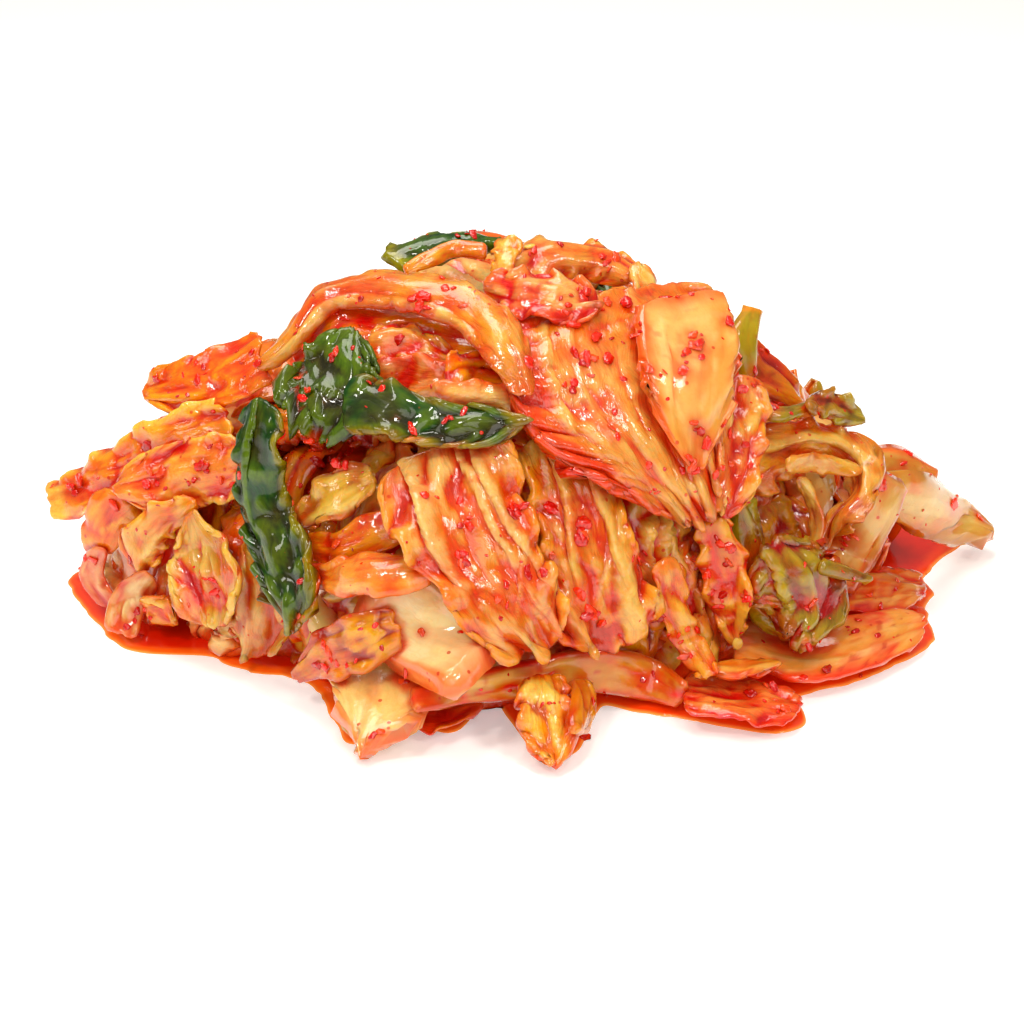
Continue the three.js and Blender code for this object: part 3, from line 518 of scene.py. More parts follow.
def wet_material(name, sss, radius, rough, scale=0.0024, strands=0.5, fine=0.3, mottle=0.12, coat=1.0, speckle=1500.0, hue=0.5, specks=0.08):
    """Wilted leaf under juice: painted colour, strands along the leaf, fine skin, wet coat.
    The attribute "grain" holds the length along and across a piece in mm, and a number of its own."""
    m, nodes, links = new_material(name)

    def spread(source, lo, hi, a, b):
        n = nodes.new("ShaderNodeMapRange")
        for k, v in (("From Min", lo), ("From Max", hi), ("To Min", a), ("To Max", b)):
            n.inputs[k].default_value = v
        links.new(source, n.inputs["Value"])
        return n.outputs["Result"]

    def noise(vector, size, detail):
        n = nodes.new("ShaderNodeTexNoise")
        n.inputs["Scale"].default_value = size
        n.inputs["Detail"].default_value = detail
        n.inputs["Roughness"].default_value = 0.6
        links.new(vector, n.inputs["Vector"])
        return n.outputs["Fac"]

    def bump(height, strength, dist, under=None):
        n = nodes.new("ShaderNodeBump")
        n.inputs["Strength"].default_value = strength
        n.inputs["Distance"].default_value = dist
        links.new(height, n.inputs["Height"])
        if under is not None:
            links.new(under, n.inputs["Normal"])
        return n.outputs["Normal"]

    out = nodes.new("ShaderNodeOutputMaterial")
    p = nodes.new("ShaderNodeBsdfPrincipled")
    links.new(p.outputs[0], out.inputs[0])
    att = nodes.new("ShaderNodeVertexColor")
    att.layer_name = "Col"
    tc = nodes.new("ShaderNodeTexCoord")
    skin = noise(tc.outputs["Object"], speckle, 2.0)
    bright = spread(skin, 0.3, 0.7, 1 - mottle * 0.7, 1 + mottle * 0.7)
    normal = None
    if strands:
        grain = nodes.new("ShaderNodeAttribute")
        grain.attribute_name = "grain"
        stretch = nodes.new("ShaderNodeVectorMath")
        stretch.operation = "MULTIPLY"
        stretch.inputs[1].default_value = (0.16, 1.25, 1.0)
        links.new(grain.outputs["Vector"], stretch.inputs[0])
        strand = noise(stretch.outputs[0], 1.0, 2.0)
        both = nodes.new("ShaderNodeMath")
        both.operation = "MULTIPLY"
        links.new(spread(strand, 0.3, 0.7, 1 - mottle, 1 + mottle), both.inputs[0])
        links.new(bright, both.inputs[1])
        bright = both.outputs[0]
        normal = bump(strand, strands, 0.0009)
    film = bump(skin, fine, 0.00025)
    normal = bump(skin, fine, 0.00025, normal)
    mul = nodes.new("ShaderNodeVectorMath")
    mul.operation = "SCALE"
    links.new(att.outputs["Color"], mul.inputs[0])
    links.new(bright, mul.inputs["Scale"])
    colour = mul.outputs[0]

    def tint(colour, factor, value, blend):
        n = nodes.new("ShaderNodeMix")
        n.data_type = "RGBA"
        n.blend_type = blend
        links.new(factor, n.inputs["Factor"])
        links.new(colour, n.inputs["A"])
        n.inputs["B"].default_value = (*value, 1)
        return n.outputs["Result"]

    if hue:
        colour = tint(colour, spread(skin, 0.46, 0.62, 0.0, hue), (1.0, 0.66, 0.4), "MULTIPLY")
    if specks:
        dots = nodes.new("ShaderNodeTexVoronoi")
        dots.inputs["Scale"].default_value = 620.0
        links.new(tc.outputs["Object"], dots.inputs["Vector"])
        some = nodes.new("ShaderNodeSeparateColor")
        links.new(dots.outputs["Color"], some.inputs[0])
        both2 = nodes.new("ShaderNodeMath")
        both2.operation = "MULTIPLY"
        links.new(spread(dots.outputs["Distance"], 0.26, 0.17, 0.0, 0.8), both2.inputs[0])
        links.new(spread(some.outputs[0], 1 - specks, 1.01 - specks, 0.0, 1.0), both2.inputs[1])
        colour = tint(colour, both2.outputs[0], (0.62, 0.022, 0.002), "MIX")
    links.new(colour, p.inputs["Base Color"])
    links.new(spread(att.outputs["Alpha"], 0.0, 1.0, rough[1], rough[0]), p.inputs["Roughness"])
    links.new(normal, p.inputs["Normal"])
    links.new(film, p.inputs["Coat Normal"])
    if sss:
        p.inputs["Subsurface Weight"].default_value = sss
        p.inputs["Subsurface Radius"].default_value = radius
        p.inputs["Subsurface Scale"].default_value = scale
    p.inputs["Specular IOR Level"].default_value = 0.12
    p.inputs["IOR"].default_value = 1.4
    p.inputs["Coat Weight"].default_value = coat
    p.inputs["Coat Roughness"].default_value = 0.06
    p.inputs["Coat IOR"].default_value = 1.56
    return m


MAT = {
    "leaf": wet_material("leaf wet", 0.4, (1.0, 0.38, 0.1), (0.3, 0.5)),
    "leaf_orange": wet_material("leaf orange wet", 0.4, (1.0, 0.34, 0.08), (0.3, 0.5), strands=0.35, mottle=0.09),
    "stem": wet_material("stem wet", 0.5, (1.0, 0.46, 0.18), (0.3, 0.5), scale=0.003, strands=0.12, fine=0.15, mottle=0.03, hue=0.2, specks=0.05),
    "leaf_green": wet_material("leaf green wet", 0.0, (0.4, 0.8, 0.12), (0.2, 0.38), strands=0.3, fine=0.12, mottle=0.3, coat=0.75, speckle=700.0, hue=0.0, specks=0.03),
    "leaf_olive": wet_material("leaf olive wet", 0.2, (0.9, 0.55, 0.12), (0.28, 0.45), strands=0.45, mottle=0.16),
    "heap": wet_material("tangle wet", 0.0, (1.0, 0.3, 0.08), (0.25, 0.45), strands=0.0, fine=0.4),
    "chili": wet_material("chili flake", 0.3, (1.0, 0.08, 0.03), (0.15, 0.3), scale=0.0015, strands=0.0, fine=0.4, mottle=0.2, hue=0.0, specks=0.0),
    "juice": wet_material("chili juice", 0.0, (1.0, 0.28, 0.06), (0.05, 0.12), strands=0.0, fine=0.02, mottle=0.03, speckle=300.0, hue=0.0, specks=0.03),
}
DEEP = {
    "leaf": wet_material("tangle leaf wet", 0.0, (1.0, 0.38, 0.1), (0.28, 0.46)),
    "leaf_orange": wet_material("tangle orange wet", 0.0, (1.0, 0.34, 0.08), (0.28, 0.46), strands=0.35, mottle=0.09),
    "stem": wet_material("tangle stem wet", 0.0, (1.0, 0.46, 0.18), (0.28, 0.46), strands=0.15, fine=0.15, mottle=0.04, hue=0.3, specks=0.08),
    "leaf_green": MAT["leaf_green"],
    "leaf_olive": wet_material("tangle olive wet", 0.0, (0.9, 0.55, 0.12), (0.28, 0.45), strands=0.45, mottle=0.16),
}
SLOT = {"leaf": "leaf", "tongue": "leaf_orange", "rib": "stem", "green": "leaf_green", "greenleaf": "leaf_olive", "greenrib": "leaf_olive"}

# ------------------------------------------------------------------ the loose leaves and stems that show
# Each row is one station from root to tip: x, y, z of the middle, breadth, heading and slope of the
# breadth in degrees, crown (mm). First come the kind of piece and its thickness.
LEAVES = {
    'stem_behind_right': ('rib', 5, [(63.2, 3.7, 25.3, 5.6, -93, -53, 0.1), (70, 8.6, 23.3, 5.7, -107, -53, 0.1), (76.6, 12.6, 19.6, 3.3, -116, -40, 0.1)]),
    'wedge_right': ('rib', 5, [(65.8, -2, 23.5, 7, 96, -64, 0), (72.8, 4.7, 19, 9, 136, -72, 0.1), (82.6, 17.7, 9.2, 12.6, -113, -9, 0.2), (90.2, 21.7, 4, 4.4, -111, 0, 0)]),
    'tongue_upper_left': ('tongue', 1.8, [(-65.5, 1.3, 41, 6.2, -75, -27, 0.1), (-58.9, -3.4, 43.9, 10.4, -71, -40, 0.4), (-51.4, -6.5, 47, 12, -63, -36, 0.3), (-42.9, -8.3, 52.1, 11.2, -60, -31, 0)]),
    'leaf_under_arch': ('tongue', 1.5, [(-36, -13.9, 50.9, 12.4, -66, -31, 0.1), (-27.2, -16.3, 55.4, 17.6, -77, -39, 0.4), (-15.4, -18.2, 56.1, 18.2, -93, -41, 0.7), (-2, -20.6, 55.2, 16.8, -98, -42, 0.7)]),
    'roll_top_right': ('leaf', 1.5, [(-1.2, -6.9, 66.3, 7, -68, -24, 2), (3.9, -2.6, 67.8, 8.3, -78, -28, 2.1), (10.8, -0.2, 67.4, 7.9, -92, -30, 2.1), (17.3, 1.1, 66.2, 7, -102, -29, 2.2), (21.8, 0.4, 64.7, 4.8, -109, -26, 2.2)]),
    'roll_top_green': ('green', 3, [(-21.3, -0.6, 67, 5.2, -75, -27, 1.4), (-15.9, 1.2, 68, 6.1, -78, -28, 1.4), (-9.9, 3.2, 68.5, 5.2, -84, -29, 1.4), (-2.1, 4.8, 68.3, 3, -88, -27, 1.4)]),
    'strip_top_orange': ('tongue', 1.8, [(-18.2, -5.4, 66, 1.7, -42, -52, 0), (-13.7, -3.2, 67.8, 2.7, -56, -45, 0.2), (-9.8, -0.6, 68.4, 2.7, -81, -54, 0.2), (-4.5, -1.6, 68.2, 2.5, -100, -57, 0.3)]),
    'tuft_top': ('leaf', 1.5, [(-2.2, -10.7, 66.2, 2.7, -31, -4, 0.3), (-1.3, -8.7, 68.7, 4.2, -31, -2, 0), (-0.5, -3.1, 71.2, 6.1, -22, -5, 0)]),
    'tuft_top_right': ('leaf', 1.8, [(21, -1.3, 65.9, 3, -138, -12, 0.1), (22.9, -5.7, 63.6, 6.1, -136, -2, 0.5), (23.6, -5.8, 59.9, 4, -143, 3, 0)]),
    'strip_yellow_right': ('leaf', 1.5, [(33.3, 8.7, 58.6, 2.5, -125, -13, 0), (35.9, 5, 56.7, 3.2, -130, -10, 0), (38.9, 0, 52.7, 3, -132, -7, 0)]),
    'leaf_upper_right': ('tongue', 1.5, [(41.7, 0.8, 50.4, 3.9, -132, -9, 0), (44.9, -1, 46, 8.4, -131, -15, 0), (50.9, 0.2, 39.9, 3.9, -126, -15, 0)]),
    'stick_right': ('rib', 2.5, [(41.8, 0.6, 56.7, 3.4, -145, 24, 0), (40, -4.9, 54.1, 4.8, -144, 15, 0), (40.6, -6.7, 47.4, 1.9, -159, 4, 0.4)]),
    'tongue_left': ('tongue', 1.8, [(-84.7, 4.7, 19, 8, -71, -27, 0.4), (-77.7, 0.5, 22.4, 9.7, -61, -33, 0.4), (-69.3, -4.7, 28.9, 10.8, -56, -35, 0.4), (-59.4, -9.8, 35.6, 11, -51, -51, 0.3), (-48.6, -14, 41.4, 10.9, -55, -51, 0.1)]),
    'leaf_fold_left': ('tongue', 2, [(-74.5, -4.7, 12.9, 5.4, -31, 3, 0.3), (-72.6, -7.2, 19.4, 7.8, -20, -17, 0.9), (-68.6, -9, 25.4, 8, -23, -27, 1.5)]),
    'leaf_back_low_left': ('leaf', 1.5, [(-59.1, -10.3, 25.6, 9.6, 152, -8, 0), (-59.9, -11.9, 17.6, 11, 151, -7, 0), (-61.6, -12.1, 8.9, 11.9, 151, -6, 0), (-62.8, -12.4, 2.2, 7.9, 151, -6, 0)]),
    'tongue_left_low': ('tongue', 1.8, [(-69.2, -10.2, 27.1, 5.7, -71, -29, 1), (-62.9, -12.5, 29.6, 10.3, -63, -53, 0.2), (-55, -15.5, 33.2, 11.7, -63, -66, 0.3), (-45.7, -20.2, 36.3, 10.9, -74, -66, 0.2)]),
    'leaf_curl_left': ('leaf', 1.5, [(-54.2, -19.1, 29.1, 2.4, 149, 57, 0.2), (-60.3, -17.6, 25, 5.9, -156, 59, 1.1), (-64.8, -14.6, 18.9, 8, 172, 17, 0), (-64.5, -13, 13.3, 4.6, 154, -21, 0)]),
    'strip_pink_left': ('rib', 1.8, [(-73.7, -7.6, 15.1, 4, 150, -3, 0.1), (-75.7, -5.1, 8.4, 5.2, 161, -18, 0), (-72.7, -7.6, 3.9, 4.2, 157, -35, 0)]),
    'strip_white_left': ('rib', 1.8, [(-63.3, -14.7, 12.9, 4.6, -148, 52, 0), (-67.8, -12.6, 7.2, 6.3, 175, 30, 0), (-69.5, -15.4, 1.9, 6.5, 149, 0, 0)]),
    'leaf_small_left': ('leaf', 1.5, [(-65.6, -14.9, 8.7, 3.1, 157, -60, 0), (-62.3, -16.2, 7.4, 5.6, 162, -57, 0), (-59.2, -16.8, 4.9, 3.4, 151, -53, 0)]),
    'leaf_low_left': ('leaf', 1.5, [(-44.4, -23.1, 23.8, 9.2, 157, -23, 0), (-42.7, -26.2, 17.7, 13, 155, -18, -0.1), (-42.9, -27.1, 10.5, 13.8, 152, -10, -0.1), (-44, -25.8, 3.1, 9.6, 149, -9, 0)]),
    'leaf_cup_left': ('leaf', 1.5, [(-54.7, -20.4, 27.8, 4.5, 161, -29, -1.7), (-52.7, -19.9, 21.3, 11.8, 152, -26, -2.3), (-51.1, -24.5, 15.9, 15.8, 151, -21, -2.3), (-50.5, -25.3, 8.8, 9.2, 150, -20, -2.2)]),
    'slab_back_right': ('rib', 2.5, [(58.6, -12, 8.5, 11.8, -95, -5, 0), (67.1, -6.8, 6.4, 16.8, -98, -2, 0), (75.3, -0.7, 3, 11.9, -100, 0, 0)]),
    'stem_diagonal_right': ('rib', 5, [(66.9, -7.2, 27.7, 6.6, -153, 35, 0.1), (63.2, -10.8, 22.7, 8.4, -154, 36, 0.4), (60.1, -8.3, 14.6, 8, -179, 34, 0), (56.4, -13.8, 11.7, 7.4, 160, 27, 0)]),
    'leaf_inner_right': ('leaf', 1.5, [(44.8, -13.8, 27.1, 11.2, -139, -5, 0), (48.4, -15.4, 20.2, 11.7, -153, -8, 0), (50.3, -17.2, 13.3, 10.7, -168, -10, 0)]),
    'roll_right': ('leaf', 2, [(38.1, -23.3, 37.2, 14.6, -26, -66, 2.4), (44.7, -18.9, 37.9, 11.7, -47, -66, 2.3), (52.8, -12.9, 36.9, 8.8, -103, -58, 2.2), (59.4, -10.1, 32.7, 6.3, 165, -48, 2.8), (59.6, -16.8, 29.9, 5.6, 126, -5, 2), (55.4, -18.9, 26.4, 4.8, 122, 2, 2.1), (54.4, -18.1, 20.3, 3.8, -158, 23, 2.2)]),
    'tongue_roll_right': ('tongue', 3, [(46.2, -21.5, 36.8, 3.2, -47, -83, 0.1), (53.1, -16.8, 35.2, 3.4, 74, -89, 0.1), (60, -14.8, 33.2, 3.3, -103, -28, 0)]),
    'strip_hang_right': ('leaf', 1.5, [(49.3, -17.7, 33, 2.5, -142, -9, 0), (51.7, -16.8, 28.4, 2.3, 163, -27, 0), (52.7, -18.9, 23.7, 3, 128, -16, 0), (50.7, -21.1, 18.7, 2.1, 143, 4, 0)]),
    'stem_green_right': ('greenrib', 2.2, [(38.3, -11.5, 48.9, 2.3, -126, -8, 0), (41.1, -11.9, 45.4, 3, -124, -13, 0), (44.9, -16.3, 44, 2.9, -102, -22, 0), (51.7, -10.2, 42.9, 2.7, -87, -21, 0)]),
    'leaf_tip_green_right': ('greenleaf', 2, [(50.6, -13.1, 45.1, 4.3, -99, -24, 0), (54.8, -9.8, 43.5, 5.4, -115, -33, 0), (60.1, -6.1, 39, 5.4, -125, -29, 0)]),
    'slab_flat_right': ('rib', 2, [(38.9, -26.8, 6.5, 9.8, -104, -17, 0.1), (49.5, -28.5, 4.7, 17.8, -96, -4, 0), (60.1, -25.9, 5.7, 12.8, -85, -20, 0.1), (72.6, -16.9, 4.6, 6.2, -73, -45, 0.1)]),
    'stem_green_low': ('greenrib', 3.5, [(38.8, -25.3, 32.2, 3.1, 168, -12, 0), (39.9, -25.7, 24, 5.3, -146, 8, 0), (41.3, -26.4, 16.8, 5.3, -143, 3, 0), (43.9, -27, 11.2, 4.7, -127, -9, 0), (49.7, -25.7, 7.1, 3.9, -117, -15, 0)]),
    'leaf_crumple_right': ('greenleaf', 2.5, [(44.2, -29.3, 25.7, 9.9, -152, -24, 2.5), (48.8, -28.7, 18.9, 16.7, -148, -10, 2.3), (50.4, -28.8, 12.9, 15.4, -153, 19, 2.2), (47.4, -32.9, 9.6, 6.2, -161, 36, 2.3)]),
    'sprig_right': ('greenrib', 1.6, [(52.5, -27.7, 21, 2.1, -116, -45, 0), (57, -24.6, 18.2, 2, -116, -43, 0), (61.7, -21.4, 15.4, 1.4, -112, -34, 0)]),
    'leaf_red_low_right': ('tongue', 1.8, [(29, -42.9, 5, 11.9, -99, 0, 0), (37.8, -44.5, 4, 14.6, -99, 0, 0), (47.1, -45.4, 3, 11.1, -100, 0, 0)]),
    'stick_low_right': ('rib', 2.5, [(34, -40.7, 8, 5, -93, 0, 0), (39.4, -40, 8, 5.4, -93, 0, 0), (44.8, -36.7, 7, 2.9, -92, 0, 0)]),
    'leaf_dark_low': ('tongue', 1.5, [(-17.9, -45.4, 4.1, 7.9, -93, -16, 0), (-12.5, -46.8, 4.1, 10.6, -86, -12, 0), (-5.3, -43.9, 4.1, 5.5, -81, -22, 0)]),
    'slab_low_front': ('rib', 4.5, [(-20.6, -41.5, 8.8, 18.1, 154, 5, 0), (-22.4, -50.3, 6, 16.1, 147, 0, 0), (-24.1, -58.8, 3, 3, 149, 0, 0)]),
    'strip_long_front': ('rib', 3.5, [(-15.7, -54.3, 9.6, 4.6, -79, -15, 0), (-5.2, -49.8, 9.8, 5.6, 61, -75, 0), (4.6, -44.6, 8.7, 5.8, -30, -82, 0), (14.6, -41.6, 8.4, 7.2, -98, -84, 0.1), (23.2, -38.4, 4.9, 6.1, -120, -55, 0), (28.3, -42.5, 4.4, 5.1, 127, -66, 0)]),
    'leaf_bit_front': ('leaf', 2.5, [(4.7, -47.8, 10.3, 7.2, -156, 6, 0), (5.2, -53.5, 7.7, 9.1, -157, 3, 0), (6.3, -57.3, 4, 7.9, -157, 0, 0), (7, -62.4, 2.5, 3.1, -158, 0, 0)]),
    'stub_front': ('rib', 3, [(11.5, -46, 8.2, 3.1, -166, 10, 0.1), (11.3, -50.3, 6.4, 10, -111, 29, 0), (10.5, -56.9, 5.2, 8.9, -106, 30, 0)]),
    'leaf_folds_upper': ('leaf', 2, [(-23.4, -18.4, 57.4, 5.8, -82, -39, 0.1), (-17.8, -18.9, 58.1, 6.8, -100, -41, 0.1), (-9.9, -21.7, 56.3, 4.4, -112, -41, 0.1)]),
    'leaf_pink_upper': ('leaf', 1.5, [(-22.5, -23.6, 53.9, 5.6, -82, -69, 0.1), (-16, -24.5, 54.5, 6.3, -105, -70, 0.1), (-10.2, -25.8, 53.6, 5.6, -134, -71, 0.1)]),
    'leaf_crumple_upper': ('leaf', 2, [(-10.8, -28.7, 55.8, 7.2, -82, -66, 0.7), (-4.9, -24.7, 54.6, 8.3, -92, -46, 0.1), (2, -24.8, 53.9, 7.2, -97, -46, 0.1)]),
    'band_cream_upper': ('leaf', 2, [(-17.6, -27.6, 51.1, 3, -75, -80, 0.2), (-8.4, -32, 53.4, 5.1, 94, -66, 1.1), (2, -29.8, 51.7, 4, -107, -75, 0.9)]),
    'leaf_ribbed_left': ('leaf', 1.8, [(-35.3, -31.5, 30.9, 3.9, -51, -24, 0), (-29.6, -33.7, 36.6, 7.8, -49, -35, 0.1), (-22.9, -34.5, 40.9, 6.8, -48, -44, 0.1)]),
    'leaf_fold_orange': ('tongue', 1.8, [(-33.9, -33, 27.4, 4.1, -114, -76, 0), (-28, -36.9, 28.6, 5.6, -66, -63, 0), (-22.3, -37.9, 32, 6.6, -50, -55, 0.1), (-17.6, -38.2, 33.6, 4.9, -56, -60, 0)]),
    'leaf_right_under': ('leaf', 1.5, [(21.4, -26.4, 36.3, 14.5, -152, 1, 0.3), (23.1, -29.8, 28.7, 14.5, -150, -3, 0.3), (26.9, -31.5, 19.3, 11.6, -147, -6, 0.1), (30.3, -31, 10.5, 7.1, -147, -5, 0.1)]),
    'stem_slab_front': ('rib', 6, [(-20.5, -44, 24.4, 11.3, -175, -49, 0.3), (-13.7, -46.4, 18.7, 14.1, -168, -50, 0), (-6.1, -53.3, 15.7, 13.9, -118, -13, 0.1)]),
    'tongue_front': ('tongue', 3, [(-35.9, -35, 23.7, 1.5, -176, -77, 0), (-29.8, -41, 25.3, 5, -96, -72, 0), (-22.5, -47.4, 29.3, 7.2, -79, -33, 1.7), (-13.1, -47.6, 31.1, 6.3, -81, -20, 1.5)]),
    'leaf_brown_front': ('tongue', 2, [(-36.7, -39.6, 6.1, 1.8, -49, -36, 0), (-30.8, -44, 12.1, 7.9, -44, -51, 0), (-24.3, -48.6, 17.2, 9.2, -38, -63, 0.1), (-18.4, -49.7, 20.3, 7.2, -36, -64, 0.1)]),
    'leaf_frill_right': ('leaf', 1.5, [(5.9, -30.7, 46.7, 13, -155, -16, 0.3), (10.8, -35.8, 37.7, 15.1, -157, -10, 0.5), (12.8, -39.9, 28.8, 16, -159, -3, 0.6), (14.9, -42.6, 19.7, 18.4, -157, -2, 0.7), (16.5, -43.2, 12.6, 14.4, -155, -1, 0.5)]),
    'leaf_orange_right': ('tongue', 2, [(33.4, -29.6, 30.4, 5, 179, -16, 0), (35.3, -30.6, 23.5, 7.8, -172, -9, 0), (36.5, -31.5, 16.5, 7.1, -178, -8, 0), (38, -29.7, 7.6, 2.7, -155, 4, 0)]),
    'strip_right_centre': ('leaf', 2, [(25.2, -35.6, 25.9, 4.7, -149, 2, 0), (26.9, -37.3, 18.4, 5.5, -148, -1, 0), (29.8, -37, 10.8, 4.9, -155, -17, 0), (32.9, -43.8, 8.5, 4.7, 138, -45, 0)]),
    'leaf_frill_left': ('leaf', 1.5, [(-11.7, -34.9, 46, 22.8, -174, -14, 0.7), (-9, -43.7, 39.2, 23, -155, -12, 0.7), (-4.2, -48, 31.7, 19.1, -148, -17, 0.6), (1, -49.8, 23.3, 16, -149, -23, 0.5), (6.5, -48.1, 15.2, 9.1, -162, -37, 0.2)]),
    'leaf_side_right': ('leaf', 2, [(38.4, -14.5, 50.3, 8.7, -172, 4, 0.3), (37.9, -21.7, 44.3, 10.4, -166, 9, 0.2), (36.7, -26.9, 37.5, 8.8, -171, 12, 0.2), (35.2, -31.2, 31.9, 6, -176, 13, 0.2)]),
    'leaf_fan': ('leaf', 2.2, [(15.8, -11.8, 64.1, 36.4, -155, -4, 1.6), (17.3, -19.6, 59.1, 41.8, -150, -4, 1.1), (20.1, -26.6, 52.2, 39.8, -146, -9, 1), (24.6, -31.5, 44.6, 26.2, -149, -15, 0.5), (31.8, -33.5, 31.4, 12, 180, -31, 0.1)]),
    'leaf_upper_middle': ('leaf', 1.5, [(-4.7, -12.6, 66.1, 5.7, -134, -73, 0.9), (1.7, -16.2, 65.9, 8.9, -100, -36, 0), (9, -16.9, 65.1, 9.6, -100, -30, 0), (14.6, -16.7, 63.7, 6.8, -102, -27, 0.1)]),
    'leaf_arch': ('leaf', 1.5, [(-43.3, -13.1, 51.7, 3, -51, -21, 1.5), (-37.8, -13.8, 57, 4.7, -48, -17, 1.5), (-33.1, -10.6, 62.6, 6, -56, -24, 1.5), (-25.6, -11.1, 65.3, 6.4, -81, -33, 1.5), (-16.7, -14.9, 66.2, 8.3, -97, -34, 1.5), (-8.2, -19.9, 65.5, 8.9, -118, -32, 1.4), (-1.3, -28.8, 62.4, 8.6, -141, -23, 1.6), (3.2, -35.3, 55.5, 3.9, -146, -13, 1.7)]),
    'stem_slab_top': ('rib', 3, [(28.3, -12.1, 63.1, 16, -150, 1, 0.2), (29.2, -20.8, 58.3, 18.5, -151, 4, -0.1), (29.5, -27.9, 52.7, 15.4, -155, 5, -0.1), (30.4, -34.3, 41.5, 6.1, -159, 4, 0)]),
    'green_leaf_upper': ('green', 1.5, [(-26.5, -19.6, 60.5, 6, 146, 4, 0.1), (-28.3, -25.4, 55.9, 15.4, 147, 7, 0.3), (-31.1, -29.6, 50.5, 17.8, 145, 8, 0.1), (-33.5, -31.2, 45.5, 13.9, 143, 7, -0.1)]),
    'green_leaf_blade': ('green', 1.5, [(-27.3, -32.4, 52.7, 10.3, -99, -48, 0.3), (-20, -35.1, 52.7, 9.2, -107, -47, 0.2), (-12.9, -35.9, 50.6, 7.3, -106, -53, 0.1), (-3.5, -36.6, 50.2, 6.7, -88, -54, 0.1), (2.6, -37, 51.4, 2, -73, -58, 0.1)]),
    'green_leaf_branch': ('green', 1.5, [(-41.3, -25.9, 50.1, 8.6, 143, -9, 0), (-42, -28.5, 42.6, 9.9, 145, -13, 0), (-41.7, -28.9, 33.8, 10.6, 156, -21, 0), (-38.4, -35.2, 27.1, 13, 149, -27, -0.1), (-36, -39.5, 20.4, 10.3, 147, -22, 0), (-36.5, -38.7, 14, 2.9, 141, -16, 0)]),
}

